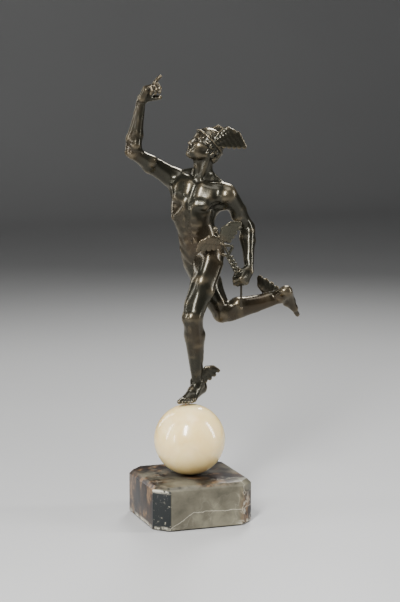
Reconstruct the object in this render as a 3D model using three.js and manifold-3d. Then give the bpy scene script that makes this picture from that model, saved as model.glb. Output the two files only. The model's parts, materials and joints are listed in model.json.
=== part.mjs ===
// A running messenger god in bronze with a winged hat and winged ankles: it stands on the left foot on an
// alabaster ball, which lies on a square block of veined marble with cut corners, and holds a staff with
// two wings and two snakes in its left fist.
// The figure is modelled as soft clay shapes on its bones, in thousandths of its stature, and skinned once.
// Origin: centre of the base's underside, on the surface it stands on. +Z is up, -Y is the base's front.
import * as THREE from "three";
import { mergeVertices } from "three/addons/utils/BufferGeometryUtils.js";
import Module from "manifold-3d";

// driving dimensions, in millimetres
const STATURE = 385;
const BALL_DIAMETER = 100;
const BASE_SIDE = 144;
const BASE_HEIGHT = 61.2;
const BALL_SEAT = 0.7;
const BASE_BEVEL = 5.5;
const BASE_CORNER_CUT = 18.5;
const PAD_HEIGHT = 1.6;
const PAD_DIAMETER = 14;
const PAD_INSET = 21;
const ROD_DIAMETER = 3.7;
const TAIL_DIAMETER = 3;
const TAIL_REACH = 108;
const GAP = 0.3;

const BALL_CENTRE = BASE_HEIGHT - BALL_SEAT + BALL_DIAMETER / 2;
const FOOTING = BALL_CENTRE + BALL_DIAMETER / 2;
const UNIT = STATURE / 1000;

const rad = (a) => (a * Math.PI) / 180;
const plus = (a, b) => [a[0] + b[0], a[1] + b[1], a[2] + b[2]];
const minus = (a, b) => [a[0] - b[0], a[1] - b[1], a[2] - b[2]];
const times = (a, k) => [a[0] * k, a[1] * k, a[2] * k];
const dot = (a, b) => a[0] * b[0] + a[1] * b[1] + a[2] * b[2];
const cross = (a, b) => [a[1] * b[2] - a[2] * b[1], a[2] * b[0] - a[0] * b[2], a[0] * b[1] - a[1] * b[0]];
const unit = (a) => times(a, 1 / Math.hypot(...a));
const mix = (a, b, k) => plus(times(a, 1 - k), times(b, k));
const along = (p, d, k) => plus(p, times(d, k));

// direction at a bearing from the base's front towards its left, and a rise above level
function heading(bearing, rise) {
  const b = rad(bearing);
  const r = rad(rise);
  return [-Math.sin(b) * Math.cos(r), -Math.cos(b) * Math.cos(r), Math.sin(r)];
}

function go(p, length, bearing, rise) {
  return along(p, heading(bearing, rise), length);
}

// a bone: a point on it is [share of its length, towards its front, towards its outer side]
class Frame {
  constructor(start, end, front, side, length) {
    this.start = start;
    const span = minus(end, start);
    this.length = length ?? Math.hypot(...span);
    this.along = unit(span);
    this.front = unit(minus(front, times(this.along, dot(front, this.along))));
    const outer = cross(this.along, this.front);
    this.outer = dot(outer, side) > 0 ? outer : times(outer, -1);
  }
  off(point, p) {
    return along(along(along(point, this.along, p[0]), this.front, p[1]), this.outer, p[2]);
  }
  dir(p) {
    return unit(this.off([0, 0, 0], p));
  }
  at(p) {
    return this.off(this.start, [p[0] * this.length, p[1], p[2]]);
  }
  axes() {
    return [this.along, this.front, this.outer];
  }
}

// distance to a round-ended cone, the ends' radii given
function coneDistance(a, ra, b, rb) {
  const ba = minus(b, a);
  const l2 = dot(ba, ba);
  const rr = ra - rb;
  const a2 = l2 - rr * rr;
  const il2 = 1 / l2;
  return (x, y, z) => {
    const px = x - a[0];
    const py = y - a[1];
    const pz = z - a[2];
    const up = px * ba[0] + py * ba[1] + pz * ba[2];
    const over = up - l2;
    const qx = px * l2 - ba[0] * up;
    const qy = py * l2 - ba[1] * up;
    const qz = pz * l2 - ba[2] * up;
    const x2 = qx * qx + qy * qy + qz * qz;
    const k = Math.sign(rr) * rr * rr * x2;
    if (Math.sign(over) * a2 * over * over * l2 > k) return Math.sqrt(x2 + over * over * l2) * il2 - rb;
    if (Math.sign(up) * a2 * up * up * l2 < k) return Math.sqrt(x2 + up * up * l2) * il2 - ra;
    return (Math.sqrt(x2 * a2 * il2) + up * rr) * il2 - ra;
  };
}

// shapes that melt into one another, each in a box of its own
class Clay {
  constructor() {
    this.shapes = [];
  }
  put(distance, lo, hi, blend, cut) {
    this.shapes.push({ distance, lo, hi, blend, cut });
  }
  cone(a, ra, b, rb, blend, cut = false) {
    const lo = a.map((v, i) => Math.min(v - ra, b[i] - rb));
    const hi = a.map((v, i) => Math.max(v + ra, b[i] + rb));
    this.put(coneDistance(a, ra, b, rb), lo, hi, blend, cut);
  }
  groove(a, ra, b, rb, blend) {
    this.cone(a, ra, b, rb, blend, true);
  }
  // a cone squashed across a normal to a share of its thickness
  plate(a, ra, b, rb, blend, normal, share) {
    const mid = mix(a, b, 0.5);
    const grow = 1 / share - 1;
    const wide = (p) => along(p, normal, grow * dot(minus(p, mid), normal));
    const round = coneDistance(wide(a), ra, wide(b), rb);
    const scale = Math.sqrt(share);
    const flat = (x, y, z) => {
      const g = grow * ((x - mid[0]) * normal[0] + (y - mid[1]) * normal[1] + (z - mid[2]) * normal[2]);
      return round(x + g * normal[0], y + g * normal[1], z + g * normal[2]) * scale;
    };
    const lo = a.map((v, i) => Math.min(v - ra, b[i] - rb));
    const hi = a.map((v, i) => Math.max(v + ra, b[i] + rb));
    this.put(flat, lo, hi, blend, false);
  }
  egg(c, radii, axes, blend, cut = false) {
    const reach = [0, 1, 2].map((i) => Math.hypot(axes[0][i] * radii[0], axes[1][i] * radii[1],
      axes[2][i] * radii[2]));
    const [u, v, w] = axes;
    const [ru, rv, rw] = radii;
    const small = Math.min(ru, rv, rw);
    const distance = (x, y, z) => {
      const px = x - c[0];
      const py = y - c[1];
      const pz = z - c[2];
      const a = (px * u[0] + py * u[1] + pz * u[2]) / ru;
      const b = (px * v[0] + py * v[1] + pz * v[2]) / rv;
      const d = (px * w[0] + py * w[1] + pz * w[2]) / rw;
      const k0 = Math.sqrt(a * a + b * b + d * d + 1e-8);
      const k1 = Math.sqrt((a * a) / (ru * ru) + (b * b) / (rv * rv) + (d * d) / (rw * rw) +
        1e-8 / (small * small));
      return (k0 * (k0 - 1)) / k1;
    };
    this.put(distance, minus(c, reach), plus(c, reach), blend, cut);
  }
  pit(c, radii, axes, blend) {
    this.egg(c, radii, axes, blend, true);
  }
}

// the clay's distances on a grid with the given step
function gridOf(clay, step) {
  const solid = clay.shapes.filter((s) => !s.cut);
  const lo = [0, 1, 2].map((i) => Math.min(...solid.map((s) => s.lo[i])) - 3 * step);
  const hi = [0, 1, 2].map((i) => Math.max(...solid.map((s) => s.hi[i])) + 3 * step);
  const n = [0, 1, 2].map((i) => Math.ceil((hi[i] - lo[i]) / step) + 1);
  const f = new Float32Array(n[0] * n[1] * n[2]).fill(1000);
  for (const s of clay.shapes) {
    const pad = s.blend + 2 * step;
    const from = [0, 1, 2].map((i) => Math.max(0, Math.floor((s.lo[i] - pad - lo[i]) / step)));
    const to = [0, 1, 2].map((i) => Math.min(n[i] - 1, Math.ceil((s.hi[i] + pad - lo[i]) / step)));
    const k = Math.max(s.blend, 0.001);
    for (let x = from[0]; x <= to[0]; x += 1)
      for (let y = from[1]; y <= to[1]; y += 1)
        for (let z = from[2]; z <= to[2]; z += 1) {
          const at = (x * n[1] + y) * n[2] + z;
          const d = s.distance(lo[0] + step * x, lo[1] + step * y, lo[2] + step * z);
          const old = f[at];
          if (s.cut) {
            const h = Math.max(k - Math.abs(old + d), 0) / k;
            f[at] = Math.max(old, -d) + h * h * k * 0.25;
          } else {
            const h = Math.max(k - Math.abs(old - d), 0) / k;
            f[at] = Math.min(old, d) - h * h * k * 0.25;
          }
        }
  }
  return { f, n, lo, step };
}

const CORNERS = [0, 1, 2, 3, 4, 5, 6, 7].map((c) => [c & 1, (c >> 1) & 1, (c >> 2) & 1]);

// true for each of the 256 cubes whose inside corners hang together, and whose outside corners do too
const SIMPLE_CUBE = Array.from({ length: 256 }, (_, mask) =>
  [mask, 255 - mask].every((set) => {
    if (!set) return true;
    let seen = set & -set;
    for (let round = 0; round < 8; round += 1)
      for (let c = 0; c < 8; c += 1)
        if ((seen >> c) & 1) for (const bit of [1, 2, 4]) if ((set >> (c ^ bit)) & 1) seen |= 1 << (c ^ bit);
    return seen === set;
  }),
);

// fills the cubes where two sheets of the surface would meet, so that it stays one clean skin
function fillPinches({ f, n, step }) {
  const strides = [n[1] * n[2], n[2], 1];
  const offsets = CORNERS.map((c) => dot(c, strides));
  for (let round = 0; round < 12; round += 1) {
    let changed = 0;
    for (let x = 0; x < n[0] - 1; x += 1)
      for (let y = 0; y < n[1] - 1; y += 1)
        for (let z = 0; z < n[2] - 1; z += 1) {
          const at = x * strides[0] + y * strides[1] + z;
          let mask = 0;
          for (let c = 0; c < 8; c += 1) if (f[at + offsets[c]] < 0) mask |= 1 << c;
          if (SIMPLE_CUBE[mask]) continue;
          for (const o of offsets) if (f[at + o] >= 0) f[at + o] = -0.1 * step;
          changed += 1;
        }
    if (!changed) return;
  }
}

// one vertex in each crossed cube, one pair of triangles over each crossed grid line
function skinOf(grid) {
  const { f, n, lo, step } = grid;
  const strides = [n[1] * n[2], n[2], 1];
  const offsets = CORNERS.map((c) => dot(c, strides));
  const index = new Int32Array(f.length).fill(-1);
  const points = [];
  for (let x = 0; x < n[0] - 1; x += 1)
    for (let y = 0; y < n[1] - 1; y += 1)
      for (let z = 0; z < n[2] - 1; z += 1) {
        const at = x * strides[0] + y * strides[1] + z;
        let mask = 0;
        for (let c = 0; c < 8; c += 1) if (f[at + offsets[c]] < 0) mask |= 1 << c;
        if (mask === 0 || mask === 255) continue;
        const sum = [0, 0, 0];
        let hits = 0;
        for (let c = 0; c < 8; c += 1)
          for (let axis = 0; axis < 3; axis += 1) {
            if ((c >> axis) & 1) continue;
            const a = f[at + offsets[c]];
            const b = f[at + offsets[c | (1 << axis)]];
            if (a < 0 === b < 0) continue;
            const t = a / (a - b);
            for (let i = 0; i < 3; i += 1) sum[i] += CORNERS[c][i] + (i === axis ? t : 0);
            hits += 1;
          }
        index[at] = points.length / 3;
        points.push(lo[0] + step * (x + sum[0] / hits), lo[1] + step * (y + sum[1] / hits),
          lo[2] + step * (z + sum[2] / hits));
      }
  const faces = [];
  for (let x = 1; x < n[0] - 1; x += 1)
    for (let y = 1; y < n[1] - 1; y += 1)
      for (let z = 1; z < n[2] - 1; z += 1) {
        const at = x * strides[0] + y * strides[1] + z;
        for (let axis = 0; axis < 3; axis += 1) {
          const inside = f[at] < 0;
          if (inside === f[at + strides[axis]] < 0) continue;
          const u = strides[(axis + 1) % 3];
          const v = strides[(axis + 2) % 3];
          const q = [index[at - u - v], index[at - v], index[at], index[at - u]];
          if (!inside) q.reverse();
          faces.push(q[0], q[1], q[2], q[0], q[2], q[3]);
        }
      }
  return { points: Float64Array.from(points), faces: Int32Array.from(faces) };
}

// keeps the largest of the skin's separate bodies
function largest({ points, faces }) {
  const root = Int32Array.from({ length: points.length / 3 }, (_, i) => i);
  const find = (i) => {
    let j = i;
    while (root[j] !== j) {
      root[j] = root[root[j]];
      j = root[j];
    }
    return j;
  };
  for (let i = 0; i < faces.length; i += 3) {
    root[find(faces[i])] = find(faces[i + 1]);
    root[find(faces[i + 2])] = find(faces[i + 1]);
  }
  const count = new Map();
  for (let i = 0; i < faces.length; i += 3) count.set(find(faces[i]), (count.get(find(faces[i])) ?? 0) + 1);
  const [best] = [...count].sort((a, b) => b[1] - a[1])[0];
  const kept = [];
  for (let i = 0; i < faces.length; i += 3) if (find(faces[i]) === best) kept.push(faces[i], faces[i + 1],
    faces[i + 2]);
  return { points, faces: Int32Array.from(kept) };
}

// merges neighbouring vertices where that moves the surface least, down to a number of triangles
function thin({ points, faces }, target) {
  const count = points.length / 3;
  const pos = points;
  const quadric = new Float64Array(count * 10);
  const around = Array.from({ length: count }, () => []);
  const tri = faces;
  const alive = new Uint8Array(tri.length / 3).fill(1);
  const P = (i) => [pos[3 * i], pos[3 * i + 1], pos[3 * i + 2]];
  for (let t = 0; t < tri.length / 3; t += 1) {
    const [a, b, c] = [P(tri[3 * t]), P(tri[3 * t + 1]), P(tri[3 * t + 2])];
    const n = cross(minus(b, a), minus(c, a));
    const size = Math.hypot(...n);
    for (let k = 0; k < 3; k += 1) around[tri[3 * t + k]].push(t);
    if (size < 1e-12) continue;
    const [x, y, z] = times(n, 1 / size);
    const d = -dot([x, y, z], a);
    const w = size;
    const q = [x * x, x * y, x * z, x * d, y * y, y * z, y * d, z * z, z * d, d * d];
    for (let k = 0; k < 3; k += 1) for (let i = 0; i < 10; i += 1) quadric[tri[3 * t + k] * 10 +
      i] += q[i] * w;
  }
  const version = new Int32Array(count);
  const gone = new Uint8Array(count);
  const best = new Float64Array(3);
  // the joined vertex's best place and its error
  function judge(i, j) {
    const q = new Array(10);
    for (let k = 0; k < 10; k += 1) q[k] = quadric[i * 10 + k] + quadric[j * 10 + k];
    const [a, b, c, d, e, f, g, h, k, l] = q;
    const cost = (x, y, z) =>
      a * x * x + 2 * b * x * y + 2 * c * x * z + 2 * d * x + e * y * y + 2 * f * y * z + 2 * g * y + h *
        z * z + 2 * k * z + l;
    const m = [e * h - f * f, c * f - b * h, b * f - c * e];
    const det = a * m[0] + b * m[1] + c * m[2];
    const mid = mix(P(i), P(j), 0.5);
    const span = Math.hypot(...minus(P(i), P(j)));
    const trace = a + e + h;
    let place = mid;
    if (Math.abs(det) > 1e-4 * trace * trace * trace) {
      const s = [
        -(m[0] * d + m[1] * g + m[2] * k) / det,
        -(m[1] * d + (a * h - c * c) * g + (b * c - a * f) * k) / det,
        -(m[2] * d + (b * c - a * f) * g + (a * e - b * b) * k) / det,
      ];
      if (Math.hypot(...minus(s, mid)) < 1.5 * span) place = s;
    }
    if (place === mid) {
      let low = cost(...mid);
      for (const end of [P(i), P(j)])
        if (cost(...end) < low) {
          low = cost(...end);
          place = end;
        }
    }
    best.set(place);
    return Math.max(cost(...place), 0) + 1e-7 * span * span * trace;
  }
  const heap = [];
  const swap = (i, j) => ([heap[i], heap[j]] = [heap[j], heap[i]]);
  function push(entry) {
    heap.push(entry);
    let i = heap.length - 1;
    while (i > 0) {
      const up = (i - 1) >> 1;
      if (heap[up][0] <= heap[i][0]) break;
      swap(i, up);
      i = up;
    }
  }
  function pop() {
    const top = heap[0];
    const last = heap.pop();
    if (heap.length) {
      heap[0] = last;
      let i = 0;
      for (;;) {
        let low = i;
        for (const c of [2 * i + 1, 2 * i + 2]) if (c < heap.length && heap[c][0] < heap[low][0]) low = c;
        if (low === i) break;
        swap(i, low);
        i = low;
      }
    }
    return top;
  }
  const offer = (i, j) => push([judge(i, j), i, j, version[i], version[j]]);
  for (let t = 0; t < tri.length / 3; t += 1)
    for (let k = 0; k < 3; k += 1) {
      const i = tri[3 * t + k];
      const j = tri[3 * t + ((k + 1) % 3)];
      if (i < j) offer(i, j);
    }
  const ring = (i) => {
    const set = new Set();
    for (const t of around[i]) for (let k = 0; k < 3; k += 1) set.add(tri[3 * t + k]);
    set.delete(i);
    return set;
  };
  // a move is refused when it turns a triangle over or makes a needle
  function spoils(i, j, place) {
    for (const t of around[i]) {
      const v = [tri[3 * t], tri[3 * t + 1], tri[3 * t + 2]];
      if (v.includes(j)) continue;
      const old = v.map(P);
      const now = v.map((w, k) => (w === i ? place : old[k]));
      const before = cross(minus(old[1], old[0]), minus(old[2], old[0]));
      const after = cross(minus(now[1], now[0]), minus(now[2], now[0]));
      const size = Math.hypot(...after);
      if (dot(before, after) < 0.35 * Math.hypot(...before) * size) return true;
      const edge = Math.max(...[0, 1, 2].map((k) => Math.hypot(...minus(now[k], now[(k + 1) % 3]))));
      if (size < 0.04 * edge * edge) return true;
    }
    return false;
  }
  let left = tri.length / 3;
  while (left > target && heap.length) {
    const [, i, j, vi, vj] = pop();
    if (gone[i] || gone[j] || version[i] !== vi || version[j] !== vj) continue;
    const ringI = ring(i);
    const ringJ = ring(j);
    let shared = 0;
    for (const w of ringI) if (ringJ.has(w)) shared += 1;
    if (shared !== 2 || ringI.size + ringJ.size < 9) continue;
    judge(i, j);
    const place = [...best];
    if (spoils(i, j, place) || spoils(j, i, place)) continue;
    for (const t of around[j]) {
      const v = [tri[3 * t], tri[3 * t + 1], tri[3 * t + 2]];
      if (v.includes(i)) {
        alive[t] = 0;
        left -= 1;
        for (const w of v) if (w !== j) around[w] = around[w].filter((u) => u !== t);
      } else {
        for (let k = 0; k < 3; k += 1) if (tri[3 * t + k] === j) tri[3 * t + k] = i;
        around[i].push(t);
      }
    }
    gone[j] = 1;
    pos.set(place, 3 * i);
    for (let k = 0; k < 10; k += 1) quadric[i * 10 + k] += quadric[j * 10 + k];
    version[i] += 1;
    for (const w of ring(i)) offer(i, w);
  }
  const number = new Int32Array(count).fill(-1);
  const kept = [];
  const list = [];
  for (let t = 0; t < alive.length; t += 1) {
    if (!alive[t]) continue;
    for (let k = 0; k < 3; k += 1) {
      const i = tri[3 * t + k];
      if (number[i] < 0) {
        number[i] = kept.length / 3;
        kept.push(...P(i));
      }
      list.push(number[i]);
    }
  }
  return { points: kept, faces: list };
}

// clay to a closed mesh in millimetres, standing on the ball
function modelled(clay, step, triangles) {
  const grid = gridOf(clay, step);
  fillPinches(grid);
  const { points, faces } = thin(largest(skinOf(grid)), triangles);
  const g = new THREE.BufferGeometry();
  const mm = points.map((v, i) => v * UNIT + (i % 3 === 2 ? FOOTING : 0));
  g.setAttribute("position", new THREE.Float32BufferAttribute(mm, 3));
  g.setIndex(faces);
  return g;
}

function two(m, right, left) {
  return m > 0 ? left : right;
}

// joints of the running figure, in thousandths of the stature from the point where it touches the ball
function skeleton() {
  const s = {};
  s.toe_L = [-4, 0, 15];
  s.ankle_L = go(s.toe_L, 80, -130, 40);
  s.knee_L = go(s.ankle_L, 250, 42, 79);
  s.hip_L = go(s.knee_L, 246, -122, 63);
  s.hip_R = go(s.hip_L, 98, 158, -4);
  s.pelvis = mix(s.hip_L, s.hip_R, 0.5);
  s.knee_R = go(s.hip_R, 246, -72, -64);
  s.ankle_R = go(s.knee_R, 224, -78, 15);
  s.chest = go(s.pelvis, 182, 79, 78);
  s.neck = go(s.chest, 105, -68, 75);
  s.head = go(s.neck, 124, -28, 81);
  s.collar = mix(s.chest, s.neck, 0.8);
  s.shoulder_L = go(s.collar, 112, -48, -15);
  s.shoulder_R = go(s.collar, 112, 129, 13);
  s.elbow_R = go(s.shoulder_R, 180, 83, 32);
  s.wrist_R = go(s.elbow_R, 192, -37, 78);
  s.elbow_L = go(s.shoulder_L, 180, -123, -46);
  s.wrist_L = go(s.elbow_L, 172, 16, -61);
  return s;
}

// cage of the ribs, waist and basin, with the muscles over them
function torso(c, s, P, C, W) {
  c.egg(C.at([6, 2, 0]), [106, 62, 77], C.axes(), 12);
  c.egg(C.at([60, -2, 0]), [46, 48, 84], C.axes(), 24);
  c.egg(W.at([92, 6, 0]), [96, 57, 66], W.axes(), 30);
  c.egg(P.at([22, 0, 0]), [60, 54, 73], P.axes(), 30);
  c.egg(P.at([-20, -4, 0]), [50, 42, 60], P.axes(), 24);
  for (const m of [-1, 1]) {
    const arm = two(m, s.shoulder_R, s.shoulder_L);
    const hip = two(m, s.hip_R, s.hip_L);
    // chest muscle: a wide plate with a firm lower rim, running out to the arm
    c.plate(C.at([46, 43, 25 * m]), 26, C.at([54, 36, 56 * m]), 25, 12, C.front, 0.75);
    c.plate(C.at([15, 52, 22 * m]), 19, C.at([22, 44, 52 * m]), 20, 7, C.front, 0.8);
    c.plate(C.at([42, 36, 54 * m]), 23, C.off(arm, [-14, 14, -14 * m]), 18, 14, C.front, 0.8);
    c.cone(C.at([74, 30, 26 * m]), 24, C.off(arm, [0, 8, -16 * m]), 20, 16);
    // collar bone
    c.cone(C.at([94, 26, 9 * m]), 6.5, C.off(arm, [20, 10, -18 * m]), 7, 12);
    // from the neck to the shoulder, and down the back
    c.cone(C.at([128, -20, 14 * m]), 20, C.off(arm, [18, -8, -22 * m]), 14, 24);
    c.cone(C.at([100, -32, 16 * m]), 24, C.at([30, -46, 10 * m]), 12, 20);
    // shoulder blade and the muscle over it
    c.egg(C.at([42, -44, 48 * m]), [42, 18, 32], C.axes(), 14);
    c.cone(C.at([66, -40, 30 * m]), 12, C.off(arm, [0, -16, 0]), 16, 14);
    // broad back muscle
    c.cone(C.at([26, -20, 68 * m]), 26, C.at([-60, -22, 54 * m]), 18, 18);
    c.cone(C.at([22, -14, 70 * m]), 22, C.off(arm, [two(m, -24, -44), -8, two(m, 6, 0)]), 18, 18);
    // saw muscles on the ribs
    for (let i = 0; i < 3; i += 1) {
      c.cone(C.at([2 - 20 * i, 22 - 3 * i, (66 - 3 * i) * m]), 9,
        C.at([-12 - 20 * i, 38 - 3 * i, (56 - 3 * i) * m]), 5, 15);
    }
    // rim of the rib arch
    c.cone(C.at([-4, 52, 13 * m]), 10, C.at([-50, 37, 47 * m]), 10, 16);
    // long back muscles beside the spine
    c.cone(C.at([20, -46, 16 * m]), 15, W.at([60, -38, 17 * m]), 18, 14);
    c.cone(W.at([60, -38, 17 * m]), 18, P.at([20, -40, 14 * m]), 14, 14);
    // flank over the hip bone
    c.egg(W.at([70, 6, 50 * m]), [38, 36, 22], W.axes(), 16);
    c.cone(P.at([50, 22, 56 * m]), 14, P.at([54, -20, 52 * m]), 15, 14);
    // belly muscle in four blocks on each side
    for (const [up, r] of [[156, 14], [129, 15], [103, 15], [70, 19]]) {
      const ahead = mix(P.front, C.front, up / 182);
      const aside = mix(P.outer, C.outer, up / 182);
      const block = new Frame(W.at([up, 0, 0]), W.at([up + 1, 0, 0]), ahead, aside);
      c.egg(block.at([0, 47, 15.5 * m]), [r, 16, 17], block.axes(), 10);
    }
    c.cone(P.at([66, 34, 13 * m]), 17, P.at([22, 38, 9 * m]), 13, 12);
    // groin line: the lower rim of the flank runs down to the front
    c.cone(P.at([34, 36, 54 * m]), 12, P.at([-10, 42, 16 * m]), 9, 12);
    // seat
    c.egg(P.off(hip, [2, -30, -12 * m]), [44, 36, 38], P.axes(), 12);
    c.egg(P.off(hip, [26, -8, 2 * m]), [36, 34, 22], P.axes(), 18);
  }
  // furrows: breast bone, middle of the belly, navel, spine
  c.groove(C.at([88, 60, 0]), 3, C.at([52, 68, 0]), 5, 12);
  c.groove(C.at([52, 68, 0]), 5, C.at([6, 76, 0]), 7, 12);
  c.groove(C.at([2, 72, 0]), 5, W.at([128, 73, 0]), 4, 12);
  c.groove(W.at([128, 73, 0]), 4, W.at([74, 71, 0]), 3, 11);
  c.pit(W.at([68, 65, 0]), [5, 6, 4], W.axes(), 7);
  c.groove(C.at([60, -68, 0]), 9, W.at([120, -58, 0]), 8, 12);
  c.groove(W.at([120, -58, 0]), 8, P.at([14, -60, 0]), 8, 12);
  c.groove(P.at([-4, -66, 0]), 8, P.at([-50, -44, 0]), 8, 8);
  c.pit(C.at([99, 42, 0]), [9, 9, 8], C.axes(), 13);
  // loins
  c.egg(P.at([-22, 42, 0]), [16, 12, 12], P.axes(), 9);
  c.egg(P.at([-38, 43, 0]), [10, 9, 8], P.axes(), 5);
}

function neck(c, C, H) {
  c.cone(C.at([96, -8, 0]), 33, H.at([-30, -15, 0]), 28, 16);
  c.cone(C.at([92, -20, 0]), 25, H.at([-10, -24, 0]), 21, 16);
  for (const m of [-1, 1]) {
    c.cone(C.at([97, 27, 8 * m]), 6, H.at([-20, -16, 33 * m]), 10, 9);
  }
  c.cone(C.at([104, 17, 0]), 11, H.at([-54, 2, 0]), 15, 12);
  c.egg(mix(C.at([104, 22, 0]), H.at([-54, 6, 0]), 0.62), [9, 9, 8], H.axes(), 10);
}

function thigh(c, F) {
  c.cone(F.at([0, 0, 2]), 42, F.at([0.92, 0, 0]), 30, 28);
  c.cone(F.at([0.10, 20, 6]), 28, F.at([0.45, 23, 4]), 28, 18);
  c.cone(F.at([0.45, 23, 4]), 28, F.at([0.86, 15, 2]), 16, 18);
  c.cone(F.at([0.12, 2, 28]), 26, F.at([0.55, 6, 25]), 25, 16);
  c.cone(F.at([0.55, 6, 25]), 25, F.at([0.88, 8, 19]), 14, 16);
  c.cone(F.at([0.45, 12, -15]), 22, F.at([0.78, 14, -20]), 19, 16);
  c.egg(F.at([0.84, 14, -21]), [28, 16, 15], F.axes(), 13);
  c.cone(F.at([-0.02, -2, -22]), 34, F.at([0.5, -6, -17]), 25, 18);
  c.cone(F.at([0.12, -26, 14]), 26, F.at([0.5, -28, 12]), 25, 16);
  c.cone(F.at([0.5, -28, 12]), 25, F.at([0.94, -17, 18]), 12, 16);
  c.cone(F.at([0.12, -26, -12]), 26, F.at([0.5, -28, -12]), 24, 16);
  c.cone(F.at([0.5, -28, -12]), 24, F.at([0.95, -17, -18]), 12, 16);
}

// K is a frame at the knee between the thigh's front and the shin's
function shin(c, F, K) {
  c.cone(F.at([0.02, 0, 0]), 31, F.at([0.25, 0, 0]), 28, 15);
  c.cone(F.at([0.25, 0, 0]), 28, F.at([0.97, 0, 0]), 18, 15);
  for (const m of [-1, 1]) {
    c.egg(K.at([-4, 5, 17 * m]), [25, 21, 17], K.axes(), 16);
  }
  c.egg(K.at([-6, 24, 0]), [17, 10, 15], K.axes(), 11);
  c.cone(K.at([-2, 23, 0]), 8, F.at([0.15, 22, 0]), 9, 11);
  c.cone(F.at([0.10, 20, -2]), 13, F.at([0.55, 15, -2]), 11, 13);
  c.cone(F.at([0.55, 15, -2]), 11, F.at([0.95, 7, -2]), 11, 13);
  // calf
  c.cone(F.at([0.02, -13, -14]), 18, F.at([0.28, -22, -15]), 22, 15);
  c.cone(F.at([0.28, -22, -15]), 22, F.at([0.54, -17, -9]), 13, 15);
  c.cone(F.at([0.02, -13, 14]), 17, F.at([0.28, -21, 15]), 21, 15);
  c.cone(F.at([0.28, -21, 15]), 21, F.at([0.52, -17, 11]), 13, 15);
  c.cone(F.at([0.32, -7, 2]), 29, F.at([0.76, -9, 2]), 19, 17);
  c.cone(F.at([0.60, -14, 0]), 13, F.at([1.0, -21, 0]), 9, 13);
  c.cone(F.at([0.08, 10, 14]), 14, F.at([0.38, 10, 13]), 15, 13);
  c.cone(F.at([0.38, 10, 13]), 15, F.at([0.82, 6, 5]), 11, 13);
  c.cone(F.at([0.10, -2, 21]), 12, F.at([0.62, -4, 16]), 11, 13);
  // ankle bones
  c.cone(F.at([0.96, 2, -15]), 10, F.at([1.01, 2, -16]), 9, 6);
  c.cone(F.at([0.98, -4, 15]), 9, F.at([1.035, -4, 16]), 8, 6);
}

// A runs from heel to toes with its front up through the instep, T lies along the toes
function foot(c, A, T) {
  c.cone(A.at([0, 2, 0]), 17, A.at([-22, -20, 0]), 18, 12);
  c.egg(A.at([-28, -26, 0]), [19, 18, 16], A.axes(), 14);
  c.cone(A.at([-22, 8, 0]), 9, A.at([-34, -16, 0]), 10, 14);
  c.cone(A.at([-2, -2, 0]), 17, A.at([36, -14, -4]), 13, 10);
  c.cone(A.at([36, -14, -4]), 13, A.at([72, -30, -9]), 11, 10);
  c.cone(A.at([10, -14, 8]), 13, A.at([60, -33, 12]), 10, 12);
  c.cone(A.at([-24, -32, 4]), 14, A.at([62, -36, 14]), 9, 12);
  c.cone(A.at([-24, -32, -4]), 14, A.at([66, -34, -10]), 9, 16);
  for (const [o, base, length, r] of [[-15, 2, 38, 9.6], [-3.5, 3, 33, 6.6], [5, 0, 30, 6.3],
    [13, -5, 27, 6], [20, -11, 23, 6]]) {
    const lift = 1 + 3 * (1 - r / 9.6) / 0.4;
    const knuckle = T.at([base, -1, o]);
    const middle = T.at([base + length * 0.5, lift - 1, o * 1.02]);
    const tip = T.at([base + length - r * 0.6, -2 - lift * 0.5, o * 1.04]);
    c.cone(A.at([48, -25 - Math.abs(o + 5) * 0.35, o * 0.75]), 8, knuckle, r + 1.6, 8);
    c.cone(knuckle, r + 1, middle, r * 0.9, 2.5);
    c.cone(middle, r * 0.9, tip, r * 0.95, 2.5);
  }
}

function upperArm(c, F) {
  c.cone(F.at([0.02, 0, 0]), 26, F.at([0.95, 0, 0]), 19, 16);
  // shoulder cap in three heads
  c.cone(F.at([0.02, 2, 6]), 30, F.at([0.44, 2, 13]), 13, 18);
  c.cone(F.at([0.0, 14, -4]), 23, F.at([0.42, 9, 11]), 11, 16);
  c.cone(F.at([0.0, -14, -4]), 23, F.at([0.42, -7, 12]), 11, 16);
  c.cone(F.at([0.20, 12, -3]), 16, F.at([0.58, 14, -2]), 18.5, 15);
  c.cone(F.at([0.58, 16, -2]), 20, F.at([0.95, 12, 0]), 10, 13);
  c.cone(F.at([0.12, -10, -9]), 18, F.at([0.50, -13, -8]), 19, 15);
  c.cone(F.at([0.50, -15, -8]), 20, F.at([0.86, -12, -2]), 12, 13);
  c.cone(F.at([0.22, -11, 9]), 15, F.at([0.55, -12, 9]), 15, 13);
  c.cone(F.at([0.55, -12, 9]), 15, F.at([0.90, -12, 3]), 10, 13);
  c.cone(F.at([0.52, 2, 10]), 12, F.at([0.95, 4, 10]), 10, 13);
  c.cone(F.at([0.60, 2, -10]), 12, F.at([0.97, 0, -13]), 10, 13);
}

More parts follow.
